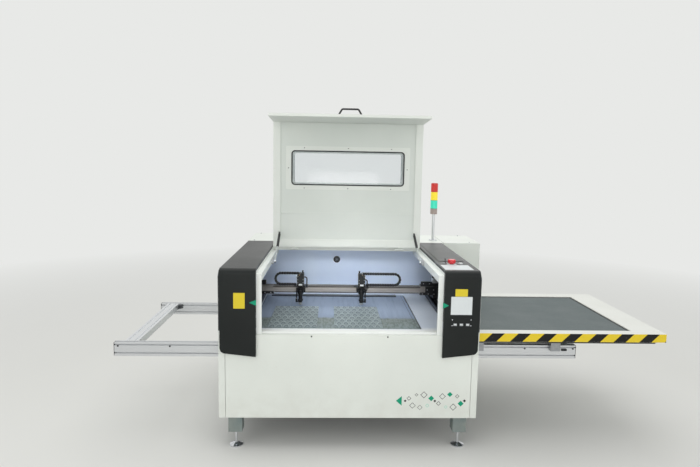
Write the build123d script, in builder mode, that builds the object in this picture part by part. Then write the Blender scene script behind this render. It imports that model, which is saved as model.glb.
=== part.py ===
from build123d import *
from math import cos, degrees, hypot, pi, radians, sin
import os

# Laser engraving machine with two heads and a pair of shuttle tables.
# Millimetres, +Z up. All sizes below are measured in the machine's own axes:
# x from the middle of the cabinet, y from its front plane to the rear, z from the floor.
# The planes further down set the machine over the origin, which lies on the floor
# under the middle of everything that sticks out.

os.makedirs("parts", exist_ok=True)

# Cabinet
CABINET_WIDTH = 1500
CABINET_BOTTOM = 195
SHEET = 2
CHAMBER_GAP = 23
FLANGE_WIDTH = 37
FLANGE_DEPTH = 20
SEAM = 2

# Frame and feet
TUBE = 40
LEG_SIZE = 80
LEG_INSET = 90
LEG_Y = 60
LEG_BOTTOM = 98
FOOT_RADIUS = 39
FOOT_HEIGHT = 14
STEM_RADIUS = 8
NUT_HEIGHT = 12

# Consoles on both sides of the opening
CONSOLE_TOP = 1073
OPENING_WIDTH = 1010
RIM_WIDTH = 30
RIM_TOP = 1040
RIM_HEIGHT = 40
RIM_FRONT = 10
RIM_LEG = 14
RIM_UPSTAND = 3
COVER_PROUD = 15
COVER_SHEET = 3
COVER_MARGIN = 10
COVER_BEND = 30
COVER_LOW_INNER = 564
COVER_LOW_OUTER = 587
COVER_CORNER = 32
SHELF_INNER = 580
SHELF_LIP = 30

# Tube housing across the rear, longer than the cabinet on the right
HOUSING_SETBACK = 67
HOUSING_DEPTH = 479
HOUSING_OVERHANG = 31
HOUSING_BOTTOM = 780
HOUSING_EXTENSION = 287
LASER_RADIUS = 40
LASER_LENGTH = 1620
LASER_HEIGHT = 915
LASER_GAP = 200
SADDLE = 30

# Lid, drawn open
HINGE_Y = 900
HINGE_Z = 1055
LID_OVERLAP = 22
LID_LENGTH = 910
LID_EDGE = 15
LID_TOP_OFFSET = 18
LID_DEPTH = 32.5
LID_RIM = 50
LID_FOOT_BAR = 54
SKIRT_LENGTH = 376
SKIRT_SLANT = 17
SKIRT_THICKNESS = 18
LINER_RECESS = 8
WINDOW_WIDTH = 785
WINDOW_HEIGHT = 228
WINDOW_CENTRE = 578
WINDOW_RADIUS = 18
WINDOW_SEAT = 10
PANE_THICKNESS = 4
GASKET_WIDTH = 8
FRAME_WIDTH = 38
FRAME_THICKNESS = 3
HANDLE_Y = 600
HANDLE_HALF = 76
HANDLE_BAR_HALF = 53
HANDLE_HEIGHT = 39
HANDLE_RADIUS = 6
HINGE_X = 380
HINGE_SEGMENT = 20
HINGE_BARREL = 9
HINGE_PIN = 5

# Gas struts
STRUT_INSET = 25
STRUT_UP_Y = 865
STRUT_UP_Z = 1170
STRUT_LOW_Y = 550
STRUT_LOW_Z = 1020
STRUT_RADIUS = 9
STRUT_LENGTH = 165
ROD_RADIUS = 4
EYE_THICKNESS = 10
STRUT_PIN = 4

# Rails and shuttle tables
RAIL_REACH_LEFT = 1360
RAIL_REACH_RIGHT = 1346
RAIL_WIDTH = 40
RAIL_HEIGHT = 80
RAIL_TOP = 619
RAIL_FRONT_Y = 84.5
CROSS_RAIL_X = 1272
CROSS_RAIL_WIDTH = 80
CROSS_RAIL_HEIGHT = 40
SLOT_OPENING = 8
SLOT_INNER = 16
SLOT_LIP = 2.5
SLOT_DEPTH = 9
SLOT_UPPER = 12
SLOT_LOWER = 61
TABLE_REACH = 1871
TABLE_SPACING = 10
TABLE_FRONT = 28
TABLE_DEPTH = 1034
TABLE_TOP = 702
TABLE_THICKNESS = 50
BED_LENGTH = 1010
BED_DEPTH = 872
BED_FRONT = 68
BED_END = 180
BED_BORDER = 60
BED_RECESS = 4
BED_THICKNESS = 22
BED_LEDGE = 20
RUNNER_BAR = 8
RUNNER_INSET = 41
SHOE_LENGTH = 56
SHOE_FRONT = 28
SHOE_BOTTOM = 592
SHOES_RIGHT = (139, 594)
SHOES_LEFT = (111, 566)
SHEET_THICKNESS = 3
SAMPLE_THICKNESS = 4
SAMPLE_WIDTH = 290
SAMPLE_DEPTH = 495

# Gantry
GUIDE_INSET = 130
GUIDE_TUBE_HEIGHT = 36
GUIDE_RAIL = 15
GUIDE_RAIL_HEIGHT = 14
BEAM_Y = 685
BEAM_BOTTOM = 786
BEAM_WIDTH = 40
BEAM_HEIGHT = 50
BEAM_END = 35
CARRIAGE = 60
BRACKET_GAP = 4
BRACKET_HEIGHT = 34
BRACKET_LENGTH = 77
BRACKET_STEP = 30
CLAMP_SHEET = 9
MIRROR_MOUNT_REACH = 51
MIRROR_MOUNT_WIDTH = 46
MIRROR_MOUNT_HEIGHT = 27
MOTOR_SIZE = 57
MOTOR_HEIGHT = 70

# Laser heads
HEAD_PITCH = 412
HEAD_LEFT_X = -316
HEAD_Y = 612
NOZZLE_TIP = 716
PLATE_HALF = 21
PLATE_THICKNESS = 8
PLATE_BOTTOM = 790
PLATE_TOP = 846
WING_HALF = 50
WING_SHEET = 4
BODY_HALF = 23
BODY_TOP = 932
BODY_SHOULDER = 900
BODY_RIDGE = 6
BODY_FRONT = 592
MIRROR_RADIUS = 13
GLAND_RADIUS = 5
GLAND_TOP = 948
FOCUS_RADIUS = 13
FOCUS_TOP = 828
NOZZLE_RADIUS = 9
KNURL_BOTTOM = 742
KNURL_HEIGHT = 14
KNURL_RADIUS = 16
COLLAR_BOTTOM = 792
COLLAR_TOP = 816
COLLAR_WALL = 7
HOSE_RADIUS = 4
HOSE_END = 752
FITTING_REACH = 26
FITTING_WALL = 2.2
FITTING_BOTTOM = 732
FITTING_TOP = 758

# Drag chains
CHAIN_WIDTH = 18
CHAIN_THICKNESS = 15
CHAIN_OUTER = 46
CHAIN_BOTTOM = 838
CHAIN_LINK = 17
CHAIN_START = 30
CHAIN_LEFT_REACH = 133
CHAIN_RIGHT_REACH = 227

# Signal tower, controls and rear fittings
TOWER_INSET = 53
TOWER_SETBACK = 158
TOWER_RADIUS = 27
TOWER_POLE = 11
TOWER_POLE_TOP = 1283
TOWER_BASE_HEIGHT = 43
TOWER_LENS_HEIGHT = 65.5
PORT_X = -68
PORT_Z = 948
PORT_RADIUS = 25
ESTOP_OFFSET = -19.5
ESTOP_Y = 215
ESTOP_STEM = 10
ESTOP_HEAD = 24
ESTOP_RISE = 6
ESTOP_HEIGHT = 31
KEY_OFFSET = -49.5
KEY_Y = 268
KEY_STEM = 9.5
START_OFFSET = 37.5
START_Y = 226
START_STEM = 12
SCREEN_FRONT = 320
SCREEN_SETBACK = 80
SCREEN_MARGIN = 24
SOCKET_Z = 776
SOCKET_WIDTH = 125
SOCKET_HEIGHT = 49
SPIGOT_RADIUS = 75
SPIGOT_LENGTH = 60
SPIGOT_FLANGE = 15
SPIGOT_X = 300
SPIGOT_Z = 480
REAR_VENT = (220, 8)
REAR_VENT_PITCH = 26
REAR_VENTS = 7
COVER_VENT = (120, 7)
COVER_VENT_PITCH = 22
COVER_VENTS = 5
INLET_INSET = 150
INLET_Z = 330

# Clearances
RUNNING_FIT = 0.1
SLIDING_GAP = 0.3
BUTTON_GAP = 0.3
BED_GAP = 1.5
LEDGE_GAP = 10
TABLE_HEADROOM = 12

# Sizes that follow from the ones above
HALF = CABINET_WIDTH / 2
LEG_X = HALF - LEG_INSET
GUIDE_X = HALF - GUIDE_INSET
INLET_X = -(HALF - INLET_INSET)
TOWER_X = HALF - TOWER_INSET
HOUSING_REACH = HALF + HOUSING_EXTENSION
CHAMBER_DEPTH = TABLE_FRONT + TABLE_DEPTH + CHAMBER_GAP
HOUSING_FRONT = CHAMBER_DEPTH + HOUSING_SETBACK
HOUSING_REAR = HOUSING_FRONT + HOUSING_DEPTH
CABINET_DEPTH = HOUSING_REAR - HOUSING_OVERHANG
COVER_DEPTH = HOUSING_FRONT - SEAM
REAR_PANEL_TOP = HOUSING_BOTTOM - SEAM
TOWER_Y = HOUSING_FRONT + TOWER_SETBACK
SCREEN_REAR = COVER_DEPTH - SCREEN_SETBACK
TABLE_LENGTH = BED_LENGTH + BED_END + BED_BORDER
TABLE_PITCH = TABLE_LENGTH + TABLE_SPACING
FRONT_TOP = TABLE_TOP - LEDGE_GAP
SHELF_BOTTOM = TABLE_TOP + TABLE_HEADROOM
OPENING = OPENING_WIDTH / 2
LID_WIDTH = OPENING_WIDTH + 2 * LID_OVERLAP
STRUT_X = OPENING - STRUT_INSET
RIM_OUTER = OPENING + RIM_WIDTH
COVER_OUTER = HALF - COVER_MARGIN
COVER_MIDDLE = (RIM_OUTER + COVER_OUTER) / 2
COVER_WIDTH = COVER_OUTER - RIM_OUTER
COVER_SEAT = CONSOLE_TOP - COVER_PROUD
ESTOP_X = COVER_MIDDLE + ESTOP_OFFSET
KEY_X = COVER_MIDDLE + KEY_OFFSET
START_X = COVER_MIDDLE + START_OFFSET
TABLE_REAR = TABLE_FRONT + TABLE_DEPTH
TABLE_MIDDLE = TABLE_FRONT + TABLE_DEPTH / 2
TABLE_BOTTOM = TABLE_TOP - TABLE_THICKNESS
RAIL_REAR_Y = 2 * TABLE_MIDDLE - RAIL_FRONT_Y
RAIL_BOTTOM = RAIL_TOP - RAIL_HEIGHT
REAR_REACH = CABINET_DEPTH + SPIGOT_LENGTH
FRONT_REACH = COVER_PROUD + SHEET
MACHINE_X = (RAIL_REACH_LEFT - TABLE_REACH) / 2
MACHINE_Y = (FRONT_REACH - REAR_REACH) / 2
SIDES = {"left": -1, "right": 1}


def level(z):
    """Plane at height z: local x and y are the machine's x and y."""
    return Plane(origin=(MACHINE_X, MACHINE_Y, z))


def across(x):
    """Plane square to the x axis: local x is the machine's y, local y its height."""
    return Plane(origin=(MACHINE_X + x, MACHINE_Y, 0), x_dir=(0, 1, 0), z_dir=(1, 0, 0))


def facing(y):
    """Plane facing the front: local x is the machine's x, local y its height."""
    return Plane(origin=(MACHINE_X, MACHINE_Y + y, 0), x_dir=(1, 0, 0), z_dir=(0, -1, 0))


def block(x, y, z, mode=Mode.ADD):
    """Box in the open part from three (low, high) pairs in the machine's axes."""
    with BuildSketch(level(z[0])) as outline:
        with Locations(((x[0] + x[1]) / 2, (y[0] + y[1]) / 2)):
            Rectangle(x[1] - x[0], y[1] - y[0])
    extrude(outline.sketch, amount=z[1] - z[0], mode=mode)


def mirrored(low, high, side):
    """The (low, high) pair on the right side, or its mirror image on the left."""
    return (low, high) if side > 0 else (-high, -low)


def both_sides(low, high):
    """The (low, high) pairs on the left and on the right."""
    return [mirrored(low, high, side) for side in (-1, 1)]


def about(centre, half):
    """The (low, high) pair around a centre."""
    return (centre - half, centre + half)


def save(part, name):
    """Labels a finished piece and writes it under its name."""
    part.part.label = name
    export_step(part.part, f"parts/{name}.step")


# Welded base frame: a ring of square tube, four legs, posts under the rails
# and posts that carry the chamber's rear wall and the tube housing.
LEG_YS = (LEG_Y, CABINET_DEPTH - SHEET - LEG_SIZE / 2)
SIDE_INNER = HALF - SHEET
RING_TOP = CABINET_BOTTOM + TUBE
RING_FRONT = LEG_Y - LEG_SIZE / 2
RING_REAR = CABINET_DEPTH - SHEET
CROSS_TUBES = (RING_FRONT, CHAMBER_DEPTH - TUBE, RING_REAR - TUBE)
with BuildPart() as base_frame:
    for tube_y in CROSS_TUBES:
        block((-SIDE_INNER, SIDE_INNER), (tube_y, tube_y + TUBE), (CABINET_BOTTOM, RING_TOP))
    for tube_x in both_sides(SIDE_INNER - TUBE, SIDE_INNER):
        block(tube_x, (RING_FRONT, RING_REAR), (CABINET_BOTTOM, RING_TOP))
        block(tube_x, (CHAMBER_DEPTH + SHEET, CHAMBER_DEPTH + SHEET + TUBE), (RING_TOP, RIM_TOP - SHEET))
        for tube_y in (HOUSING_FRONT, RING_REAR - TUBE):
            block(tube_x, (tube_y, tube_y + TUBE), (RING_TOP, HOUSING_BOTTOM))
        for rail_y in (RAIL_FRONT_Y, RAIL_REAR_Y):
            block(tube_x, about(rail_y, RAIL_WIDTH / 2), (RING_TOP, RAIL_BOTTOM))
    for leg_y in LEG_YS:
        for leg_x in (-LEG_X, LEG_X):
            block(about(leg_x, LEG_SIZE / 2), about(leg_y, LEG_SIZE / 2), (LEG_BOTTOM, CABINET_BOTTOM))
save(base_frame, "base_frame")

# Levelling feet: turned disc and stem with a lock nut under the leg.
with BuildPart() as levelling_feet:
    for leg_y in LEG_YS:
        for leg_x in (-LEG_X, LEG_X):
            with BuildSketch(Plane(origin=(MACHINE_X + leg_x, MACHINE_Y + leg_y, 0), x_dir=(1, 0, 0),
                                   z_dir=(0, -1, 0))):
                with BuildLine():
                    Polyline((0, 0), (FOOT_RADIUS, 0), (FOOT_RADIUS, FOOT_HEIGHT / 2),
                             (FOOT_RADIUS * 0.6, FOOT_HEIGHT), (STEM_RADIUS, FOOT_HEIGHT * 1.4),
                             (STEM_RADIUS, LEG_BOTTOM), (0, LEG_BOTTOM), close=True)
                make_face()
            revolve(axis=Axis((MACHINE_X + leg_x, MACHINE_Y + leg_y, 0), (0, 0, 1)))
            with BuildSketch(Plane(origin=(MACHINE_X + leg_x, MACHINE_Y + leg_y, LEG_BOTTOM - NUT_HEIGHT))):
                RegularPolygon(radius=1.7 * STEM_RADIUS, side_count=6)
            extrude(amount=NUT_HEIGHT)
save(levelling_feet, "levelling_feet")

# Front panel: one folded sheet whose top return is the ledge under the lid.
PANEL_HALF = HALF - FLANGE_WIDTH - SEAM
with BuildPart() as front_panel:
    block((-PANEL_HALF, PANEL_HALF), (0, SHEET), (CABINET_BOTTOM, FRONT_TOP))
    block((-PANEL_HALF, PANEL_HALF), (0, RIM_FRONT + RIM_LEG), (FRONT_TOP - SHEET, FRONT_TOP))
    block((-PANEL_HALF, PANEL_HALF), (0, RING_FRONT), (CABINET_BOTTOM, CABINET_BOTTOM + SHEET))
save(front_panel, "front_panel")

# Side panels: each a sheet with a corner flange at the front, a top flange under the
# console cover and the slot through which the tables run out.
SLOT_FRONT = TABLE_FRONT - 4
SLOT_REAR = TABLE_REAR + 10
SLOT_BOTTOM = RAIL_BOTTOM - 3
SLOT_TOP = SHELF_BOTTOM - SHEET
for side_name, side in SIDES.items():
    with BuildPart() as side_panel:
        with BuildSketch(across(side * HALF)):
            with BuildLine():
                Polyline((0, CABINET_BOTTOM), (CABINET_DEPTH, CABINET_BOTTOM), (CABINET_DEPTH, HOUSING_BOTTOM),
                         (COVER_DEPTH, HOUSING_BOTTOM), (COVER_DEPTH, COVER_SEAT), (COVER_BEND, COVER_SEAT),
                         (0, COVER_SEAT - COVER_BEND), close=True)
            make_face()
            with Locations(((SLOT_FRONT + SLOT_REAR) / 2, (SLOT_BOTTOM + SLOT_TOP) / 2)):
                Rectangle(SLOT_REAR - SLOT_FRONT, SLOT_TOP - SLOT_BOTTOM, mode=Mode.SUBTRACT)
        extrude(amount=-side * SHEET)
        flange_x = mirrored(HALF - FLANGE_WIDTH, HALF, side)
        block(flange_x, (0, SHEET), (CABINET_BOTTOM, COVER_SEAT - COVER_BEND))
        block(mirrored(HALF - FLANGE_WIDTH, HALF - FLANGE_WIDTH + SHEET, side), (0, FLANGE_DEPTH),
              (CABINET_BOTTOM, COVER_SEAT - COVER_BEND))
        block(flange_x, (COVER_BEND, COVER_DEPTH), (COVER_SEAT - SHEET, COVER_SEAT))
    save(side_panel, f"side_panel_{side_name}")

# Rear panel with two rows of vent slots and the holes for the exhaust.
with BuildPart() as rear_panel:
    with BuildSketch(facing(CABINET_DEPTH)):
        with Locations((0, (CABINET_BOTTOM + REAR_PANEL_TOP) / 2)):
            Rectangle(2 * SIDE_INNER, REAR_PANEL_TOP - CABINET_BOTTOM)
        with Locations((-SPIGOT_X, SPIGOT_Z), (SPIGOT_X, SPIGOT_Z)):
            Circle(SPIGOT_RADIUS - SHEET, mode=Mode.SUBTRACT)
        with Locations((0, SPIGOT_Z)):
            with GridLocations(0, REAR_VENT_PITCH, 1, REAR_VENTS):
                SlotOverall(*REAR_VENT, mode=Mode.SUBTRACT)
    extrude(amount=SHEET)
save(rear_panel, "rear_panel")

# Exhaust spigots: flanged rings on the rear panel.
with BuildPart() as exhaust_spigots:
    for spigot_x in (-SPIGOT_X, SPIGOT_X):
        with BuildSketch(facing(CABINET_DEPTH)):
            with Locations((spigot_x, SPIGOT_Z)):
                Circle(SPIGOT_RADIUS + SPIGOT_FLANGE)
                Circle(SPIGOT_RADIUS - SHEET, mode=Mode.SUBTRACT)
        extrude(amount=-SHEET)
        with BuildSketch(facing(CABINET_DEPTH)):
            with Locations((spigot_x, SPIGOT_Z)):
                Circle(SPIGOT_RADIUS)
                Circle(SPIGOT_RADIUS - SHEET, mode=Mode.SUBTRACT)
        extrude(amount=-SPIGOT_LENGTH)
save(exhaust_spigots, "exhaust_spigots")

# Power inlet: a flanged socket with a recess for the plug and its three prongs.
INLET_WIDTH = 50
INLET_HEIGHT = 30
INLET_RIM = (12, 6)
INLET_FLOOR = CABINET_DEPTH + 4
INLET_FACE = CABINET_DEPTH + 16
PRONG_PITCH = 7
with BuildPart() as power_inlet:
    block(about(INLET_X, INLET_WIDTH / 2), (CABINET_DEPTH, INLET_FACE), about(INLET_Z, INLET_HEIGHT / 2))
    block(about(INLET_X, INLET_WIDTH / 2 - INLET_RIM[0]), (INLET_FLOOR, INLET_FACE),
          about(INLET_Z, INLET_HEIGHT / 2 - INLET_RIM[1]), Mode.SUBTRACT)
    for prong_x in (-PRONG_PITCH, 0, PRONG_PITCH):
        block(about(INLET_X + prong_x, 1), (INLET_FLOOR, INLET_FACE - 3), about(INLET_Z, 3))
save(power_inlet, "power_inlet")

# Rear wall of the chamber, with the round hole for the cable port.
PORT_HOLE = PORT_RADIUS - 3
with BuildPart() as chamber_rear_wall:
    block((-SIDE_INNER + SHEET, SIDE_INNER - SHEET), (CHAMBER_DEPTH, CHAMBER_DEPTH + SHEET),
          (RING_TOP, RIM_TOP - SHEET))
    with BuildSketch(facing(CHAMBER_DEPTH)):
        with Locations((PORT_X, PORT_Z)):
            Circle(PORT_HOLE)
    extrude(amount=-SHEET, mode=Mode.SUBTRACT)
save(chamber_rear_wall, "chamber_rear_wall")

# Cable port: a turned plug in the rear wall's hole, whose face is slit like a star.
PORT_FACE = 4
PORT_SLIT = 2.5
PORT_SLITS = 4
with BuildPart() as cable_port:
    with BuildSketch(facing(CHAMBER_DEPTH)):
        with Locations((PORT_X, PORT_Z)):
            Circle(PORT_RADIUS)
    extrude(amount=PORT_FACE)
    with BuildSketch(facing(CHAMBER_DEPTH - PORT_FACE)):
        for turn in range(PORT_SLITS):
            with Locations(Location((PORT_X, PORT_Z), turn * 180 / PORT_SLITS)):
                SlotOverall(2 * PORT_HOLE - 6, PORT_SLIT)
    extrude(amount=-PORT_FACE / 2, mode=Mode.SUBTRACT)
    with BuildSketch(facing(CHAMBER_DEPTH)):
        with Locations((PORT_X, PORT_Z)):
            Circle(PORT_HOLE - SLIDING_GAP)
    extrude(amount=-3 * PORT_FACE)
save(cable_port, "cable_port")

# Debris tray under the tables, resting on the ring.
TRAY_HALF = SIDE_INNER - TUBE - SHEET
TRAY_REAR = CHAMBER_DEPTH - SHEET
TRAY_WALL = 30
with BuildPart() as debris_tray:
    block((-TRAY_HALF, TRAY_HALF), (FLANGE_DEPTH + SHEET, TRAY_REAR), (RING_TOP, RING_TOP + TRAY_WALL))
    block((-TRAY_HALF + SHEET, TRAY_HALF - SHEET), (FLANGE_DEPTH + 2 * SHEET, TRAY_REAR - SHEET),
          (RING_TOP + SHEET, RING_TOP + TRAY_WALL), Mode.SUBTRACT)
save(debris_tray, "debris_tray")

# Console shelves: folded sheets that carry the gantry guides inside the consoles, each
# with an upright lip beside the guide.
RIM_REAR_OF_LEG = RIM_FRONT + RIM_LEG
for side_name, side in SIDES.items():
    with BuildPart() as console_shelf:
        block(mirrored(SHELF_INNER, SIDE_INNER, side), (RIM_REAR_OF_LEG, CHAMBER_DEPTH),
              (SHELF_BOTTOM, SHELF_BOTTOM + SHEET))
        block(mirrored(SHELF_INNER, SHELF_INNER + SHEET, side), (RIM_REAR_OF_LEG, CHAMBER_DEPTH),
              (SHELF_BOTTOM, SHELF_BOTTOM + SHELF_LIP))
    save(console_shelf, f"console_shelf_{side_name}")

# White rims on both sides of the opening: a front leg and an arm that runs back,
# with a thin upstand beside the console cover.
with BuildPart() as console_rims:
    for side in SIDES.values():
        block(mirrored(OPENING, RIM_OUTER, side), (RIM_FRONT, RIM_REAR_OF_LEG), (FRONT_TOP, RIM_TOP))
        block(mirrored(OPENING, RIM_OUTER, side), (RIM_FRONT, CHAMBER_DEPTH), (RIM_TOP - RIM_HEIGHT, RIM_TOP))
        block(mirrored(RIM_OUTER - RIM_UPSTAND, RIM_OUTER, side), (RIM_FRONT, CHAMBER_DEPTH),
              (RIM_TOP, COVER_SEAT))
save(console_rims, "console_rims")


def cover_band(inset):
    """Side view of a console cover inset by a wall on its outside faces."""
    with BuildLine() as outline:
        Polyline((0, COVER_LOW_INNER - 1), (-COVER_PROUD + inset, COVER_LOW_INNER - 1),
                 (-COVER_PROUD + inset, CONSOLE_TOP - COVER_BEND))
        RadiusArc((-COVER_PROUD + inset, CONSOLE_TOP - COVER_BEND),
                  (-COVER_PROUD + COVER_BEND, CONSOLE_TOP - inset), COVER_BEND - inset)
        Polyline((-COVER_PROUD + COVER_BEND, CONSOLE_TOP - inset), (COVER_DEPTH - inset, CONSOLE_TOP - inset),
                 (COVER_DEPTH - inset, COVER_SEAT), (COVER_BEND, COVER_SEAT), (0, COVER_SEAT - COVER_BEND),
                 (0, COVER_LOW_INNER - 1))
    make_face(outline.edges())


# Console covers: dark sheet trays folded over the front edge in a round bend. The lower
# edge falls towards the opening and its outer corner is round. The right one has the
# holes of the controls.
for side_name, side in SIDES.items():
    cover_x = mirrored(RIM_OUTER, COVER_OUTER, side)
    with BuildPart() as console_cover:
        with BuildSketch(across(cover_x[0])):
            cover_band(0)
        extrude(amount=COVER_WIDTH)
        with BuildSketch(across(cover_x[0] + COVER_SHEET)):
            cover_band(COVER_SHEET)
        extrude(amount=COVER_WIDTH - 2 * COVER_SHEET, mode=Mode.SUBTRACT)
        inner_x = side * (RIM_OUTER - 1)
        outer_x = side * (COVER_OUTER + 1)
        with BuildSketch(facing(1)):
            with BuildLine():
                Line((inner_x, -1), (inner_x, COVER_LOW_INNER))
                FilletPolyline((inner_x, COVER_LOW_INNER), (side * COVER_OUTER, COVER_LOW_OUTER),
                               (side * COVER_OUTER, COVER_LOW_OUTER + 3 * COVER_CORNER),
                               radius=COVER_CORNER)
                Polyline((side * COVER_OUTER, COVER_LOW_OUTER + 3 * COVER_CORNER),
                         (outer_x, COVER_LOW_OUTER + 3 * COVER_CORNER), (outer_x, -1), (inner_x, -1))
            make_face()
        extrude(amount=COVER_PROUD + 2, mode=Mode.SUBTRACT)
        if side > 0:
            with BuildSketch(level(CONSOLE_TOP)):
                for hole_x, hole_y, stem in ((ESTOP_X, ESTOP_Y, ESTOP_STEM), (KEY_X, KEY_Y, KEY_STEM),
                                             (START_X, START_Y, START_STEM)):
                    with Locations((hole_x, hole_y)):
                        Circle(stem + BUTTON_GAP)
            extrude(amount=-COVER_PROUD - 1, mode=Mode.SUBTRACT)
    save(console_cover, f"console_cover_{side_name}")

# Gantry guides: a square tube on each shelf with a rail along its top.
GUIDE_TUBE_TOP = SHELF_BOTTOM + SHEET + GUIDE_TUBE_HEIGHT
GUIDE_RAIL_TOP = GUIDE_TUBE_TOP + GUIDE_RAIL_HEIGHT
GUIDE_FRONT = RIM_REAR_OF_LEG + 12
GUIDE_REAR = CHAMBER_DEPTH - 8
with BuildPart() as y_guides:
    for guide_x in (-GUIDE_X, GUIDE_X):
        block(about(guide_x, TUBE / 2), (GUIDE_FRONT, GUIDE_REAR), (SHELF_BOTTOM + SHEET, GUIDE_TUBE_TOP))
        block(about(guide_x, GUIDE_RAIL / 2), (GUIDE_FRONT, GUIDE_REAR), (GUIDE_TUBE_TOP, GUIDE_RAIL_TOP))
save(y_guides, "y_guides")

# Rear top cover between the consoles, behind the lid's hinges.
TOP_COVER_HALF = RIM_OUTER - RIM_UPSTAND - 0.5
TOP_COVER_FRONT = HINGE_Y + 25
with BuildPart() as rear_top_cover:
    block((-TOP_COVER_HALF, TOP_COVER_HALF), (TOP_COVER_FRONT, HOUSING_FRONT), (RIM_TOP, CONSOLE_TOP))
    block((-TOP_COVER_HALF + SHEET, TOP_COVER_HALF - SHEET), (TOP_COVER_FRONT + SHEET, HOUSING_FRONT + 1),
          (RIM_TOP - 1, CONSOLE_TOP - SHEET), Mode.SUBTRACT)
save(rear_top_cover, "rear_top_cover")

# Tube housing: a sheet trough that is open at the rear, with saddles for the laser tubes.
HOUSING_LEFT = -SIDE_INNER
LASER_YS = ((HOUSING_FRONT + HOUSING_REAR - LASER_GAP) / 2, (HOUSING_FRONT + HOUSING_REAR + LASER_GAP) / 2)
LASER_MIDDLE = (HOUSING_LEFT + HOUSING_REACH) / 2
SADDLE_XS = (LASER_MIDDLE - LASER_LENGTH / 3, LASER_MIDDLE + LASER_LENGTH / 3)
with BuildPart() as tube_housing:
    block((HOUSING_LEFT, HOUSING_REACH), (HOUSING_FRONT, HOUSING_REAR), (HOUSING_BOTTOM, CONSOLE_TOP))
    block((HOUSING_LEFT + SHEET, HOUSING_REACH - SHEET), (HOUSING_FRONT + SHEET, HOUSING_REAR + 1),
          (HOUSING_BOTTOM + SHEET, CONSOLE_TOP - SHEET), Mode.SUBTRACT)
    for saddle_x in SADDLE_XS:
        for laser_y in LASER_YS:
            block(about(saddle_x, SADDLE / 2), about(laser_y, LASER_RADIUS), (HOUSING_BOTTOM + SHEET, LASER_HEIGHT))
    for laser_y in LASER_YS:
        with BuildSketch(across(HOUSING_LEFT + SHEET)):
            with Locations((laser_y, LASER_HEIGHT)):
                Circle(LASER_RADIUS + SLIDING_GAP)
        extrude(amount=HOUSING_REACH - HOUSING_LEFT - 2 * SHEET, mode=Mode.SUBTRACT)
save(tube_housing, "tube_housing")

# Laser tubes: glass tubes with a narrower neck at each end.
NECK = 60
with BuildPart() as laser_tubes:
    for laser_y in LASER_YS:
        with BuildSketch(across(LASER_MIDDLE - LASER_LENGTH / 2)):
            with Locations((laser_y, LASER_HEIGHT)):
                Circle(LASER_RADIUS * 0.45)
        extrude(amount=LASER_LENGTH)
        with BuildSketch(across(LASER_MIDDLE - LASER_LENGTH / 2 + NECK)):
            with Locations((laser_y, LASER_HEIGHT)):
                Circle(LASER_RADIUS)
        extrude(amount=LASER_LENGTH - 2 * NECK)
save(laser_tubes, "laser_tubes")

# Cover on the housing's open rear, with vent slots at both ends.
with BuildPart() as tube_cover:
    with BuildSketch(facing(HOUSING_REAR + SHEET)):
        with Locations(((HOUSING_LEFT + HOUSING_REACH) / 2, (HOUSING_BOTTOM + CONSOLE_TOP) / 2)):
            Rectangle(HOUSING_REACH - HOUSING_LEFT, CONSOLE_TOP - HOUSING_BOTTOM)
            with GridLocations(LASER_LENGTH * 0.8, COVER_VENT_PITCH, 2, COVER_VENTS):
                SlotOverall(*COVER_VENT, mode=Mode.SUBTRACT)
    extrude(amount=SHEET)
save(tube_cover, "tube_cover")


def rail_section(centre, bottom, width, height, slots):
    """Section of a slotted aluminium profile, seen along its length."""
    with Locations((centre, bottom + height / 2)):
        Rectangle(width, height)
    for slot_height in slots:
        for face in (-1, 1):
            with Locations((centre + face * (width - SLOT_LIP) / 2, bottom + slot_height)):
                Rectangle(SLOT_LIP, SLOT_OPENING, mode=Mode.SUBTRACT)
            with Locations((centre + face * (width / 2 - (SLOT_LIP + SLOT_DEPTH) / 2), bottom + slot_height)):
                Rectangle(SLOT_DEPTH - SLOT_LIP, SLOT_INNER - SLOT_OPENING / 2, mode=Mode.SUBTRACT)
    with Locations((centre, bottom + height - SLOT_LIP)):
        Rectangle(SLOT_OPENING, 2 * SLOT_LIP, mode=Mode.SUBTRACT)


# Table rails: two slotted profiles across the machine, out on both sides.
for rail_name, rail_y in (("rail_front", RAIL_FRONT_Y), ("rail_rear", RAIL_REAR_Y)):
    with BuildPart() as rail:
        with BuildSketch(across(-RAIL_REACH_LEFT)):
            rail_section(rail_y, RAIL_BOTTOM, RAIL_WIDTH, RAIL_HEIGHT,
                         (RAIL_HEIGHT - SLOT_UPPER, RAIL_HEIGHT - SLOT_LOWER))
        extrude(amount=RAIL_REACH_LEFT + RAIL_REACH_RIGHT)
    save(rail, rail_name)

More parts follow.
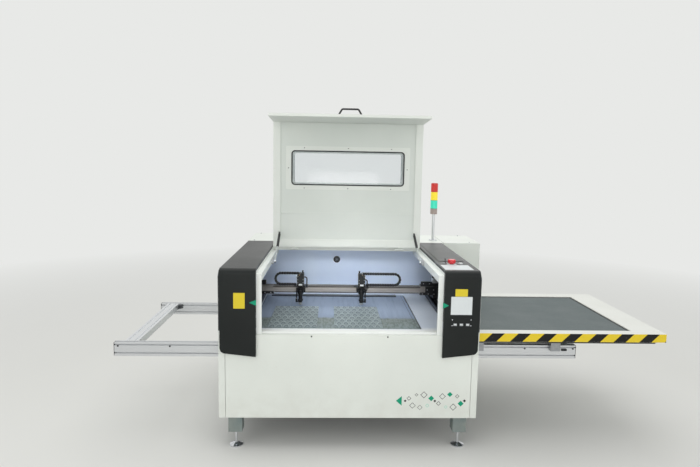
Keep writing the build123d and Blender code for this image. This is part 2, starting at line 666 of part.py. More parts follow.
# Cross rails between the two, near their ends, with a cast bracket in each inner corner.
CROSS_FRONT = RAIL_FRONT_Y + RAIL_WIDTH / 2
CROSS_REAR = RAIL_REAR_Y - RAIL_WIDTH / 2
GUSSET = 32
GUSSET_WALL = 4
GUSSET_HEIGHT = 30
GUSSET_TOP = RAIL_TOP - 5
with BuildPart() as cross_rails:
    for cross_x, inward in ((-CROSS_RAIL_X, 1), (CROSS_RAIL_X, -1)):
        with BuildSketch(facing(CROSS_REAR)):
            with Locations((cross_x, RAIL_TOP - CROSS_RAIL_HEIGHT / 2)):
                Rectangle(CROSS_RAIL_WIDTH, CROSS_RAIL_HEIGHT)
            for groove_x in (-CROSS_RAIL_WIDTH / 4, CROSS_RAIL_WIDTH / 4):
                with Locations((cross_x + groove_x, RAIL_TOP - SLOT_LIP)):
                    Rectangle(SLOT_OPENING, 2 * SLOT_LIP, mode=Mode.SUBTRACT)
        extrude(amount=CROSS_REAR - CROSS_FRONT)
        corner_x = cross_x + inward * CROSS_RAIL_WIDTH / 2
        for corner_y, inner in ((CROSS_FRONT, 1), (CROSS_REAR, -1)):
            with BuildSketch(level(GUSSET_TOP)):
                with BuildLine():
                    Polyline((corner_x, corner_y), (corner_x + inward * GUSSET, corner_y),
                             (corner_x, corner_y + inner * GUSSET), close=True)
                make_face()
            extrude(amount=-GUSSET_HEIGHT)
            web_x = corner_x + inward * GUSSET_WALL
            web_y = corner_y + inner * GUSSET_WALL
            with BuildSketch(level(GUSSET_TOP - GUSSET_WALL)):
                with BuildLine():
                    Polyline((web_x, web_y), (web_x + inward * GUSSET, web_y), (web_x, web_y + inner * GUSSET),
                             close=True)
                make_face()
            extrude(amount=2 * GUSSET_WALL - GUSSET_HEIGHT, mode=Mode.SUBTRACT)
save(cross_rails, "cross_rails")

# Shuttle tables: white frames with a broad border, each around its own bed. The dark
# bars under the frame carry the shoes that slide on the rails.
TABLE_RIGHT_ENDS = {"left": TABLE_REACH - TABLE_PITCH, "right": TABLE_REACH}
SHOE_XS = {"left": [TABLE_REACH - TABLE_PITCH - shoe for shoe in SHOES_LEFT],
           "right": [TABLE_REACH - TABLE_LENGTH + shoe for shoe in SHOES_RIGHT]}
BED_Y = (TABLE_FRONT + BED_FRONT, TABLE_FRONT + BED_FRONT + BED_DEPTH)
BED_TOP = TABLE_TOP - BED_RECESS
BED_BOTTOM = BED_TOP - BED_THICKNESS
RUNNER_BOTTOM = TABLE_BOTTOM - RUNNER_BAR
for side_name, side in SIDES.items():
    right_end = TABLE_RIGHT_ENDS[side_name]
    left_end = right_end - TABLE_LENGTH
    bed_x = (right_end - BED_END - BED_LENGTH, right_end - BED_END)
    with BuildPart() as table_frame:
        block((left_end, right_end), (TABLE_FRONT, TABLE_REAR), (TABLE_BOTTOM, TABLE_TOP))
        block(bed_x, BED_Y, (BED_BOTTOM, TABLE_TOP), Mode.SUBTRACT)
        block((bed_x[0] + BED_LEDGE, bed_x[1] - BED_LEDGE), (BED_Y[0] + BED_LEDGE, BED_Y[1] - BED_LEDGE),
              (TABLE_BOTTOM, BED_BOTTOM), Mode.SUBTRACT)
    save(table_frame, f"table_frame_{side_name}")

    with BuildPart() as table_bed:
        block((bed_x[0] + BED_GAP, bed_x[1] - BED_GAP), (BED_Y[0] + BED_GAP, BED_Y[1] - BED_GAP),
              (BED_BOTTOM, BED_TOP))
    save(table_bed, f"table_bed_{side_name}")

    runner_x = (left_end + RUNNER_INSET, right_end - RUNNER_INSET)
    with BuildPart() as table_runners:
        for bar_y in (RAIL_FRONT_Y, RAIL_REAR_Y):
            block(runner_x, about(bar_y, RAIL_WIDTH / 2 + SHOE_FRONT / 2), (RUNNER_BOTTOM, TABLE_BOTTOM))
        for bar_x in SHOE_XS[side_name]:
            block(about(bar_x, SHOE_LENGTH / 2), (RAIL_FRONT_Y, RAIL_REAR_Y), (RUNNER_BOTTOM, TABLE_BOTTOM))
            for rail_y, outward in ((RAIL_FRONT_Y, -1), (RAIL_REAR_Y, 1)):
                rail_face = rail_y + outward * RAIL_WIDTH / 2
                near = rail_face + outward * SLIDING_GAP
                far = rail_face + outward * SHOE_FRONT
                block(about(bar_x, SHOE_LENGTH / 2), sorted((rail_y, far)),
                      (RAIL_TOP + SLIDING_GAP, RUNNER_BOTTOM))
                block(about(bar_x, SHOE_LENGTH / 2), sorted((near, far)), (SHOE_BOTTOM, RUNNER_BOTTOM))
                block(about(bar_x, SHOE_LENGTH / 2), sorted((rail_face - outward * SLOT_LIP, near)),
                      about(RAIL_TOP - SLOT_UPPER, SLOT_OPENING / 2 - SLIDING_GAP))
    save(table_runners, f"table_runners_{side_name}")

# Clear sheet in the left bed's recess, and two cut panels lying on it.
LEFT_BED_X = (TABLE_REACH - TABLE_PITCH - BED_END - BED_LENGTH, TABLE_REACH - TABLE_PITCH - BED_END)
SHEET_MARGIN = 5
SHEET_TOP = BED_TOP + SHEET_THICKNESS
SAMPLE_FRONT = BED_Y[0] + 16
with BuildPart() as clear_sheet:
    block((LEFT_BED_X[0] + SHEET_MARGIN, LEFT_BED_X[1] - SHEET_MARGIN),
          (BED_Y[0] + SHEET_MARGIN, BED_Y[1] - SHEET_MARGIN), (BED_TOP, SHEET_TOP))
save(clear_sheet, "clear_sheet")

with BuildPart() as sample_panels:
    for sample_x in (HEAD_LEFT_X - 20, HEAD_LEFT_X - 20 + HEAD_PITCH - 20):
        block(about(sample_x, SAMPLE_WIDTH / 2), (SAMPLE_FRONT, SAMPLE_FRONT + SAMPLE_DEPTH),
              (SHEET_TOP, SHEET_TOP + SAMPLE_THICKNESS))
save(sample_panels, "sample_panels")

# Gantry beam: a slotted profile with the heads' rail on its front face.
BEAM_FRONT = BEAM_Y - BEAM_WIDTH / 2
BEAM_TOP = BEAM_BOTTOM + BEAM_HEIGHT
BEAM_HALF = GUIDE_X + BEAM_END
BRACKET_X = OPENING + BRACKET_GAP
BEAM_RAIL_HALF = BRACKET_X - BRACKET_GAP
BEAM_RAIL_Z = BEAM_BOTTOM + 21.5
BEAM_RAIL_DEPTH = 10
with BuildPart() as gantry_beam:
    with BuildSketch(across(-BEAM_HALF)):
        rail_section(BEAM_Y, BEAM_BOTTOM, BEAM_WIDTH, BEAM_HEIGHT, (BEAM_HEIGHT - SLOT_OPENING,))
    extrude(amount=2 * BEAM_HALF)
    block((-BEAM_RAIL_HALF, BEAM_RAIL_HALF), (BEAM_FRONT - BEAM_RAIL_DEPTH, BEAM_FRONT),
          about(BEAM_RAIL_Z, GUIDE_RAIL / 2))
save(gantry_beam, "gantry_beam")

# Gantry ends: a carriage block on each guide, a clamp plate under each end of the beam,
# the mirror mount on the left and the motor bracket on the right.
MIRROR_MOUNT_X = (-BEAM_HALF + MIRROR_MOUNT_REACH, -BEAM_HALF + MIRROR_MOUNT_REACH + MIRROR_MOUNT_WIDTH)
MIRROR_MOUNT_Y = (BEAM_Y - 5, BEAM_Y + 55)
MOUNT_PLATE = 6
BRACKET_SHEET = 8
BRACKET_TOP = BEAM_TOP + 5
BRACKET_FRONT = BEAM_FRONT - BRACKET_SHEET
MOTOR_Y = BEAM_Y + 14
with BuildPart() as gantry_ends:
    for guide_x in (-GUIDE_X, GUIDE_X):
        block(about(guide_x, CARRIAGE / 2), about(BEAM_Y, CARRIAGE / 2), (GUIDE_TUBE_TOP + 3, BEAM_BOTTOM))
        block(about(guide_x, GUIDE_RAIL / 2 + SLIDING_GAP), about(BEAM_Y, CARRIAGE / 2),
              (GUIDE_TUBE_TOP, GUIDE_RAIL_TOP + SLIDING_GAP), Mode.SUBTRACT)
    for side in SIDES.values():
        clamp_x = mirrored(BRACKET_X - 2 * BRACKET_GAP, BEAM_HALF, side)
        block(clamp_x, (BRACKET_FRONT, BEAM_Y + BEAM_WIDTH / 2), (BEAM_BOTTOM - CLAMP_SHEET, BEAM_BOTTOM))
        block(clamp_x, (BRACKET_FRONT, BEAM_FRONT), (BEAM_BOTTOM, BEAM_BOTTOM + CLAMP_SHEET))
    block(MIRROR_MOUNT_X, MIRROR_MOUNT_Y, (BEAM_TOP, BEAM_TOP + MOUNT_PLATE))
    block((MIRROR_MOUNT_X[0], MIRROR_MOUNT_X[0] + 2 * MOUNT_PLATE), MIRROR_MOUNT_Y,
          (BEAM_TOP, BEAM_TOP + MIRROR_MOUNT_HEIGHT))
    with BuildSketch(across(MIRROR_MOUNT_X[0] + 2 * MOUNT_PLATE)):
        with Locations((BEAM_Y + 25, BEAM_TOP + MIRROR_MOUNT_HEIGHT - MIRROR_RADIUS)):
            Circle(MIRROR_RADIUS)
    extrude(amount=MIRROR_MOUNT_WIDTH - 2 * MOUNT_PLATE)
    block((BRACKET_X + BRACKET_STEP, BEAM_HALF), (BRACKET_FRONT, BEAM_FRONT), (BEAM_BOTTOM, BEAM_TOP - 1))
    block((BRACKET_X, BEAM_HALF), (BEAM_FRONT, BEAM_Y + 50), (BEAM_TOP, BRACKET_TOP))
    block((BRACKET_X, BRACKET_X + BRACKET_LENGTH), (BEAM_FRONT, BEAM_FRONT + BRACKET_SHEET),
          (BEAM_TOP, BEAM_TOP + BRACKET_HEIGHT))
save(gantry_ends, "gantry_ends")

# Head motor on the bracket: a square body with rounded corners and a terminal box.
MOTOR_X = BEAM_HALF - 40
with BuildPart() as gantry_motor:
    with BuildSketch(level(BRACKET_TOP)):
        with Locations((MOTOR_X, MOTOR_Y)):
            RectangleRounded(MOTOR_SIZE, MOTOR_SIZE, 6)
    extrude(amount=MOTOR_HEIGHT)
    block(about(MOTOR_X, 12), (MOTOR_Y + MOTOR_SIZE / 2, MOTOR_Y + MOTOR_SIZE / 2 + 8),
          (BRACKET_TOP + 8, BRACKET_TOP + 26))
save(gantry_motor, "gantry_motor")

# Laser heads: a carriage on the beam's rail, a front plate with a collar for the focus
# tube, the mirror housing with one sloping shoulder above it, a sheet that carries the
# drag chain's lower end, and the air hoses.
HEAD_XS = {"left": HEAD_LEFT_X, "right": HEAD_LEFT_X + HEAD_PITCH}
PLATE_REAR = BEAM_FRONT - BEAM_RAIL_DEPTH - 10
PLATE_FRONT = PLATE_REAR - PLATE_THICKNESS
CHAIN_TOP = CHAIN_BOTTOM + 2 * CHAIN_OUTER
CHAIN_REAR = PLATE_REAR + CHAIN_WIDTH
CHAIN_SEAT = CHAIN_TOP - CHAIN_THICKNESS
HEAD_RAIL_HALF = 32
COLLAR_CLAMP = 24
SHOULDER_RUN = BODY_HALF + BODY_RIDGE
SHOULDER_FALL = BODY_TOP - BODY_SHOULDER
MIRROR_PLATE = 3
MIRROR_SCREW = 2.5
FITTING_BORE = HOSE_RADIUS + SLIDING_GAP
LOW_HOSE = (COLLAR_BOTTOM + COLLAR_TOP) / 2 + 8
HOSES = {
    "left": ((((20, BODY_SHOULDER + 5), (43, BODY_SHOULDER + 5), (43, CHAIN_BOTTOM - 1)), (14,)),
             (((-15, LOW_HOSE), (-FITTING_REACH, LOW_HOSE), (-FITTING_REACH, HOSE_END)), (7,))),
    "right": ((((20, BODY_SHOULDER - 10), (38, BODY_SHOULDER - 10), (38, 825), (FITTING_REACH, 795),
                (FITTING_REACH, HOSE_END)), (12, 40, 40)),),
}
for side_name, side in SIDES.items():
    head_x = HEAD_XS[side_name]
    with BuildPart() as head:
        block(about(head_x, HEAD_RAIL_HALF), (PLATE_REAR, BEAM_FRONT - 1.5), about(BEAM_RAIL_Z, 15.5))
        block(about(head_x, HEAD_RAIL_HALF), (BEAM_FRONT - BEAM_RAIL_DEPTH - SLIDING_GAP, BEAM_FRONT),
              about(BEAM_RAIL_Z, GUIDE_RAIL / 2 + SLIDING_GAP), Mode.SUBTRACT)
        block(about(head_x, PLATE_HALF), (PLATE_FRONT, PLATE_REAR), (PLATE_BOTTOM, PLATE_TOP))
        block(about(head_x, BODY_HALF), (PLATE_FRONT, PLATE_REAR), (PLATE_TOP - 20, CHAIN_SEAT))
        block(about(head_x, BODY_HALF), (PLATE_FRONT, CHAIN_REAR), (CHAIN_SEAT - 6, CHAIN_SEAT))
        block(about(head_x, WING_HALF), (PLATE_FRONT, CHAIN_REAR), (CHAIN_BOTTOM - WING_SHEET, CHAIN_BOTTOM))
        block((head_x + HEAD_RAIL_HALF, head_x + WING_HALF), (HEAD_Y - 2 * HOSE_RADIUS, PLATE_FRONT),
              (CHAIN_BOTTOM - WING_SHEET, CHAIN_BOTTOM))
        with BuildSketch(facing(PLATE_FRONT)):
            with BuildLine():
                Polyline((head_x - side * BODY_HALF, PLATE_TOP), (head_x - side * BODY_HALF, BODY_TOP),
                         (head_x - side * BODY_RIDGE, BODY_TOP), (head_x + side * BODY_HALF, BODY_SHOULDER),
                         (head_x + side * BODY_HALF, PLATE_TOP), close=True)
            make_face()
        extrude(amount=PLATE_FRONT - BODY_FRONT)
        shoulder = Plane(origin=(MACHINE_X + head_x + side * (BODY_HALF - SHOULDER_RUN / 2),
                                 MACHINE_Y + (BODY_FRONT + PLATE_FRONT) / 2, BODY_TOP - SHOULDER_FALL / 2),
                         x_dir=(0, 1, 0), z_dir=(side * SHOULDER_FALL, 0, SHOULDER_RUN))
        with BuildSketch(shoulder):
            Circle(MIRROR_RADIUS)
        extrude(amount=MIRROR_PLATE)
        with BuildSketch(shoulder):
            with Locations((-17, -17), (17, -17), (-17, 17)):
                Circle(MIRROR_SCREW)
        extrude(amount=2 * MIRROR_PLATE)
        with BuildSketch(level(BODY_TOP)):
            with Locations((head_x - side * (BODY_HALF + BODY_RIDGE) / 2, PLATE_FRONT - 14)):
                Circle(GLAND_RADIUS)
        extrude(amount=GLAND_TOP - BODY_TOP)
        with BuildSketch(level(COLLAR_BOTTOM)):
            with Locations((head_x, HEAD_Y)):
                Circle(FOCUS_RADIUS + COLLAR_WALL)
            with Locations((head_x, (HEAD_Y + PLATE_FRONT) / 2 + 5)):
                Rectangle(COLLAR_CLAMP, PLATE_FRONT - HEAD_Y - 8)
        extrude(amount=COLLAR_TOP - COLLAR_BOTTOM)
        with BuildSketch(level(COLLAR_BOTTOM)):
            with Locations((head_x, HEAD_Y)):
                Circle(FOCUS_RADIUS + RUNNING_FIT)
        extrude(amount=COLLAR_TOP - COLLAR_BOTTOM, mode=Mode.SUBTRACT)
        for corners, bends in HOSES[side_name]:
            with BuildLine(facing(HEAD_Y)) as hose_path:
                FilletPolyline(*[(head_x + x, z) for x, z in corners], radius=bends)
            with BuildSketch(Plane(origin=hose_path.line @ 0, z_dir=hose_path.line % 0)):
                Circle(HOSE_RADIUS)
            sweep(path=hose_path.line)
    save(head, f"head_{side_name}")

    with BuildPart() as focus_tube:
        with BuildSketch(facing(HEAD_Y)):
            with BuildLine():
                Polyline((head_x, NOZZLE_TIP), (head_x + NOZZLE_RADIUS, NOZZLE_TIP),
                         (head_x + FOCUS_RADIUS - 1, NOZZLE_TIP + 6), (head_x + FOCUS_RADIUS - 1, KNURL_BOTTOM),
                         (head_x + KNURL_RADIUS, KNURL_BOTTOM), (head_x + KNURL_RADIUS, KNURL_BOTTOM + KNURL_HEIGHT),
                         (head_x + FOCUS_RADIUS, KNURL_BOTTOM + KNURL_HEIGHT), (head_x + FOCUS_RADIUS, FOCUS_TOP),
                         (head_x, FOCUS_TOP), close=True)
            make_face()
        revolve(axis=Axis((MACHINE_X + head_x, MACHINE_Y + HEAD_Y, 0), (0, 0, 1)))
        fitting_x = head_x + side * FITTING_REACH
        with BuildSketch(level(FITTING_BOTTOM)):
            with Locations((fitting_x, HEAD_Y)):
                Circle(FITTING_BORE + FITTING_WALL)
        extrude(amount=FITTING_TOP - FITTING_BOTTOM)
        block(mirrored(side * head_x + NOZZLE_RADIUS, side * head_x + FITTING_REACH, side), about(HEAD_Y, 4),
              (FITTING_BOTTOM + 1, KNURL_BOTTOM))
        with BuildSketch(level(FITTING_BOTTOM + 3)):
            with Locations((fitting_x, HEAD_Y)):
                Circle(FITTING_BORE)
        extrude(amount=FITTING_TOP - FITTING_BOTTOM - 3, mode=Mode.SUBTRACT)
    save(focus_tube, f"focus_tube_{side_name}")

# Drag chains: links with side plates and cross bars along two straight runs and the
# half circle that joins them. Each rides with its head.
CHAIN_MEAN = CHAIN_OUTER - CHAIN_THICKNESS / 2
CHAIN_MIDDLE = CHAIN_BOTTOM + CHAIN_OUTER
CHAIN_CORE = CHAIN_THICKNESS - 5
CHAIN_TURNS = round(pi * CHAIN_MEAN / CHAIN_LINK)


def chain_outline(start_x, bend_x, side, link_length, thickness):
    """Link outlines along the chain: lower run, half circle and upper run."""
    upper = abs(bend_x - start_x)
    lower = upper - CHAIN_START
    for step in range(int(upper // CHAIN_LINK)):
        with Locations((bend_x - side * (step + 0.5) * CHAIN_LINK, CHAIN_MIDDLE + CHAIN_MEAN)):
            Rectangle(link_length, thickness)
    for step in range(int(lower // CHAIN_LINK)):
        with Locations((bend_x - side * (step + 0.5) * CHAIN_LINK, CHAIN_MIDDLE - CHAIN_MEAN)):
            Rectangle(link_length, thickness)
    for step in range(CHAIN_TURNS):
        turn = radians(-90 + (step + 0.5) * 180 / CHAIN_TURNS)
        with Locations(Location((bend_x + side * CHAIN_MEAN * cos(turn), CHAIN_MIDDLE + CHAIN_MEAN * sin(turn)),
                                90 + side * degrees(turn))):
            Rectangle(link_length, thickness)


def chain_core(start_x, bend_x, side, thickness):
    """The band that the links are strung on: two runs and a half ring."""
    upper = abs(bend_x - start_x)
    lower = upper - CHAIN_START
    with Locations((bend_x - side * upper / 2, CHAIN_MIDDLE + CHAIN_MEAN)):
        Rectangle(upper, thickness)
    with Locations((bend_x - side * lower / 2, CHAIN_MIDDLE - CHAIN_MEAN)):
        Rectangle(lower, thickness)
    with Locations((bend_x, CHAIN_MIDDLE)):
        with BuildSketch(mode=Mode.PRIVATE) as half_ring:
            Circle(CHAIN_MEAN + thickness / 2)
            Circle(CHAIN_MEAN - thickness / 2, mode=Mode.SUBTRACT)
            with Locations((-side * CHAIN_OUTER, 0)):
                Rectangle(2 * CHAIN_OUTER, 4 * CHAIN_OUTER, mode=Mode.SUBTRACT)
        add(half_ring.sketch)


CHAIN_REACHES = {"left": CHAIN_LEFT_REACH, "right": CHAIN_RIGHT_REACH}
CHAIN_PLATE = 3
for side_name, side in SIDES.items():
    head_x = HEAD_XS[side_name]
    bend_x = head_x + side * (CHAIN_REACHES[side_name])
    with BuildPart() as drag_chain:
        for plate_y in (CHAIN_REAR, CHAIN_REAR - CHAIN_WIDTH + CHAIN_PLATE):
            with BuildSketch(facing(plate_y)):
                chain_core(head_x, bend_x, side, CHAIN_CORE)
                chain_outline(head_x, bend_x, side, CHAIN_LINK - 3, CHAIN_THICKNESS)
            extrude(amount=CHAIN_PLATE)
        with BuildSketch(facing(CHAIN_REAR - CHAIN_PLATE)):
            chain_outline(head_x, bend_x, side, CHAIN_LINK - 8, CHAIN_THICKNESS - 1)
        extrude(amount=CHAIN_WIDTH - 2 * CHAIN_PLATE)
    save(drag_chain, f"drag_chain_{side_name}")

# Lid shell, standing open: outer skin, box rims on both sides, a bar along the hinges
# and the skirt that closes the front. The insides open only behind the liner.
LID_HALF = LID_WIDTH / 2
LID_BACK = HINGE_Y + LID_TOP_OFFSET
LID_FACE = LID_BACK - LID_DEPTH
LID_LOW = HINGE_Z + LID_EDGE
LID_HIGH = HINGE_Z + LID_LENGTH
SKIRT_Y = LID_BACK - SKIRT_LENGTH
SLOPE = SKIRT_SLANT / SKIRT_LENGTH
LINER_LOW = LID_LOW + LID_FOOT_BAR
LINER_HIGH = LID_HIGH - SKIRT_THICKNESS + SLOPE * LID_DEPTH
LINER_FACE = LID_FACE + LINER_RECESS
LINER_HALF = LID_HALF - LID_RIM
WINDOW_Z = HINGE_Z + WINDOW_CENTRE


def skirt_top(y):
    """Height of the skirt's outer face over a place between its edge and the lid's back."""
    return LID_HIGH + SLOPE * (LID_BACK - y)


with BuildPart() as lid_shell:
    with BuildSketch(across(-LID_HALF)):
        with BuildLine():
            Polyline((LID_BACK, LID_LOW), (LID_BACK, LID_HIGH), (SKIRT_Y, skirt_top(SKIRT_Y)),
                     (SKIRT_Y, skirt_top(SKIRT_Y) - SKIRT_THICKNESS),
                     (LID_FACE, skirt_top(LID_FACE) - SKIRT_THICKNESS), (LID_FACE, LID_LOW), close=True)
        make_face()
    extrude(amount=LID_WIDTH)
    with BuildSketch(across(-LID_HALF + SHEET)):
        with BuildLine():
            Polyline((LID_BACK - SHEET, LID_LOW + SHEET), (LID_BACK - SHEET, LID_HIGH - SHEET),
                     (SKIRT_Y + SHEET, skirt_top(SKIRT_Y) - SHEET),
                     (SKIRT_Y + SHEET, skirt_top(SKIRT_Y) - SKIRT_THICKNESS + SHEET),
                     (LID_FACE + SHEET, skirt_top(LID_FACE) - SKIRT_THICKNESS + SHEET),
                     (LID_FACE + SHEET, LID_LOW + SHEET), close=True)
        make_face()
    extrude(amount=LID_WIDTH - 2 * SHEET, mode=Mode.SUBTRACT)
    for wall_x in both_sides(LINER_HALF, LINER_HALF + SHEET):
        block(wall_x, (LID_FACE, LID_BACK - SHEET), (LID_LOW + SHEET, LINER_HIGH))
    block((-LINER_HALF, LINER_HALF), (LID_FACE, LID_BACK - SHEET), (LINER_LOW - SHEET, LINER_LOW))
    block((-LINER_HALF, LINER_HALF), (LID_FACE - 1, LID_FACE + SHEET), (LINER_LOW, LINER_HIGH), Mode.SUBTRACT)
    with BuildSketch(facing(LID_BACK)):
        with Locations((0, WINDOW_Z)):
            RectangleRounded(WINDOW_WIDTH - 2 * WINDOW_SEAT, WINDOW_HEIGHT - 2 * WINDOW_SEAT, WINDOW_RADIUS)
    extrude(amount=SHEET, mode=Mode.SUBTRACT)
    for hinge_x in (-HINGE_X, HINGE_X):
        block(about(hinge_x, HINGE_SEGMENT / 2 - SLIDING_GAP), (HINGE_Y - HINGE_BARREL, LID_FACE + 20),
              (HINGE_Z, LID_LOW + SHEET))
        with BuildSketch(across(hinge_x - HINGE_SEGMENT / 2 + SLIDING_GAP)):
            with Locations((HINGE_Y, HINGE_Z)):
                Circle(HINGE_BARREL)
        extrude(amount=HINGE_SEGMENT - 2 * SLIDING_GAP)
        with BuildSketch(across(hinge_x - HINGE_SEGMENT / 2)):
            with Locations((HINGE_Y, HINGE_Z)):
                Circle(HINGE_PIN + RUNNING_FIT)
        extrude(amount=HINGE_SEGMENT, mode=Mode.SUBTRACT)
    for side in SIDES.values():
        plate_x = mirrored(STRUT_X + EYE_THICKNESS / 2 + 2, STRUT_X + EYE_THICKNESS / 2 + 6, side)
        block(plate_x, (STRUT_UP_Y - 8, LID_FACE), about(STRUT_UP_Z, 12))
        pin_x = mirrored(STRUT_X - EYE_THICKNESS / 2, STRUT_X + EYE_THICKNESS / 2 + 2, side)
        with BuildSketch(across(pin_x[0])):
            with Locations((STRUT_UP_Y, STRUT_UP_Z)):
                Circle(STRUT_PIN)
        extrude(amount=pin_x[1] - pin_x[0])
save(lid_shell, "lid_shell")

# Lid liner: the flat inner sheet between the rims.
with BuildPart() as lid_liner:
    with BuildSketch(facing(LINER_FACE)):
        with Locations((0, (LINER_LOW + LINER_HIGH) / 2)):
            Rectangle(2 * LINER_HALF, LINER_HIGH - LINER_LOW)
        with Locations((0, WINDOW_Z)):
            RectangleRounded(WINDOW_WIDTH - 2 * WINDOW_SEAT, WINDOW_HEIGHT - 2 * WINDOW_SEAT, WINDOW_RADIUS,
                             mode=Mode.SUBTRACT)
    extrude(amount=-SHEET)
save(lid_liner, "lid_liner")

# Window pane, its rubber gasket and the trim frame around them, on the liner.
with BuildPart() as lid_window:
    with BuildSketch(facing(LINER_FACE)):
        with Locations((0, WINDOW_Z)):
            RectangleRounded(WINDOW_WIDTH - 2 * SLIDING_GAP, WINDOW_HEIGHT - 2 * SLIDING_GAP, WINDOW_RADIUS)
    extrude(amount=PANE_THICKNESS)
save(lid_window, "lid_window")

GASKET_OUTER = (WINDOW_WIDTH + 2 * GASKET_WIDTH, WINDOW_HEIGHT + 2 * GASKET_WIDTH)
with BuildPart() as window_gasket:
    with BuildSketch(facing(LINER_FACE)):
        with Locations((0, WINDOW_Z)):
            RectangleRounded(*GASKET_OUTER, WINDOW_RADIUS + GASKET_WIDTH)
            RectangleRounded(WINDOW_WIDTH, WINDOW_HEIGHT, WINDOW_RADIUS, mode=Mode.SUBTRACT)
    extrude(amount=PANE_THICKNESS + 1.5)
save(window_gasket, "window_gasket")

with BuildPart() as window_frame:
    with BuildSketch(facing(LINER_FACE)):
        with Locations((0, WINDOW_Z)):
            RectangleRounded(GASKET_OUTER[0] + 2 * FRAME_WIDTH, GASKET_OUTER[1] + 2 * (FRAME_WIDTH - 8), 8)
            RectangleRounded(GASKET_OUTER[0] + 2 * SLIDING_GAP, GASKET_OUTER[1] + 2 * SLIDING_GAP,
                             WINDOW_RADIUS + GASKET_WIDTH, mode=Mode.SUBTRACT)
    extrude(amount=FRAME_THICKNESS)
save(window_frame, "window_frame")

# Lid handle: a bent bar on the skirt's outer face.
HANDLE_PAD = HANDLE_RADIUS + 4
HANDLE_FOOT = skirt_top(HANDLE_Y - HANDLE_PAD)
with BuildPart() as lid_handle:
    with BuildLine(facing(HANDLE_Y)) as handle_path:
        FilletPolyline((-HANDLE_HALF, HANDLE_FOOT), (-HANDLE_BAR_HALF, HANDLE_FOOT + HANDLE_HEIGHT),
                       (HANDLE_BAR_HALF, HANDLE_FOOT + HANDLE_HEIGHT), (HANDLE_HALF, HANDLE_FOOT), radius=14)
    with BuildSketch(Plane(origin=handle_path.line @ 0, z_dir=handle_path.line % 0)):
        Circle(HANDLE_RADIUS)
    sweep(path=handle_path.line)
    for foot_x in (-HANDLE_HALF, HANDLE_HALF):
        with BuildSketch(level(HANDLE_FOOT)):
            with Locations((foot_x, HANDLE_Y)):
                Circle(HANDLE_PAD)
        extrude(amount=5)
    block((-2 * HANDLE_HALF, 2 * HANDLE_HALF), about(HANDLE_Y, 4 * HANDLE_RADIUS),
          (HANDLE_FOOT - 3 * HANDLE_RADIUS, HANDLE_FOOT), Mode.SUBTRACT)
save(lid_handle, "lid_handle")

# Lid hinges: brackets on the rear top cover, with two barrels each and the pin.
with BuildPart() as lid_hinges:
    for hinge_x in (-HINGE_X, HINGE_X):
        for knuckle in (-HINGE_SEGMENT, HINGE_SEGMENT):
            knuckle_x = hinge_x + knuckle
            with BuildSketch(across(knuckle_x - HINGE_SEGMENT / 2)):
                with Locations((HINGE_Y, HINGE_Z)):
                    Circle(HINGE_BARREL)
            extrude(amount=HINGE_SEGMENT)
            block(about(knuckle_x, HINGE_SEGMENT / 2), (HINGE_Y, TOP_COVER_FRONT), about(HINGE_Z, 4))
        block(about(hinge_x, 1.5 * HINGE_SEGMENT), (TOP_COVER_FRONT - 5, TOP_COVER_FRONT),
              (RIM_TOP, CONSOLE_TOP - SHEET))
        with BuildSketch(across(hinge_x - 1.5 * HINGE_SEGMENT)):
            with Locations((HINGE_Y, HINGE_Z)):
                Circle(HINGE_PIN)
        extrude(amount=3 * HINGE_SEGMENT)
save(lid_hinges, "lid_hinges")

# Gas struts: cylinder on the lid's pin, rod sliding in it, and a lower eye that hangs
# beside the stud of the bracket on the rim.
STRUT_REACH = hypot(STRUT_LOW_Y - STRUT_UP_Y, STRUT_LOW_Z - STRUT_UP_Z)
STRUT_DIR = ((STRUT_LOW_Y - STRUT_UP_Y) / STRUT_REACH, (STRUT_LOW_Z - STRUT_UP_Z) / STRUT_REACH)
STRUT_NECK = 18
BORE_START = 27
ROD_INSERT = 22


def strut_plane(x, along):
    """Plane square to a strut's axis at a distance from its upper pivot."""
    return Plane(origin=(MACHINE_X + x, MACHINE_Y + STRUT_UP_Y + along * STRUT_DIR[0],
                         STRUT_UP_Z + along * STRUT_DIR[1]),
                 x_dir=(1, 0, 0), z_dir=(0, STRUT_DIR[0], STRUT_DIR[1]))


def strut_eye(x, along, pin_radius):
    """Eye across a strut's axis, with its bore."""
    centre = (STRUT_UP_Y + along * STRUT_DIR[0], STRUT_UP_Z + along * STRUT_DIR[1])
    with BuildSketch(across(x - EYE_THICKNESS / 2)) as eye:
        with Locations(centre):
            Circle(STRUT_RADIUS)
            Circle(pin_radius, mode=Mode.SUBTRACT)
    extrude(eye.sketch, amount=EYE_THICKNESS)


for side_name, side in SIDES.items():
    strut_x = side * STRUT_X
    with BuildPart() as strut_cylinder:
        with BuildSketch(strut_plane(strut_x, STRUT_RADIUS - 2)):
            Circle(ROD_RADIUS)
        extrude(amount=STRUT_NECK - STRUT_RADIUS + 2)
        with BuildSketch(strut_plane(strut_x, STRUT_NECK)):
            Circle(STRUT_RADIUS)
        extrude(amount=STRUT_LENGTH - STRUT_NECK)
        with BuildSketch(strut_plane(strut_x, BORE_START)):
            Circle(ROD_RADIUS + RUNNING_FIT)
        extrude(amount=STRUT_LENGTH - BORE_START, mode=Mode.SUBTRACT)
        strut_eye(strut_x, 0, STRUT_PIN + RUNNING_FIT)
    save(strut_cylinder, f"strut_cylinder_{side_name}")

    with BuildPart() as strut_rod:
        with BuildSketch(strut_plane(strut_x, STRUT_LENGTH - ROD_INSERT)):
            Circle(ROD_RADIUS)
        extrude(amount=STRUT_REACH - STRUT_RADIUS + 2 - STRUT_LENGTH + ROD_INSERT)
        strut_eye(strut_x, STRUT_REACH, STRUT_PIN + RUNNING_FIT)
    save(strut_rod, f"strut_rod_{side_name}")

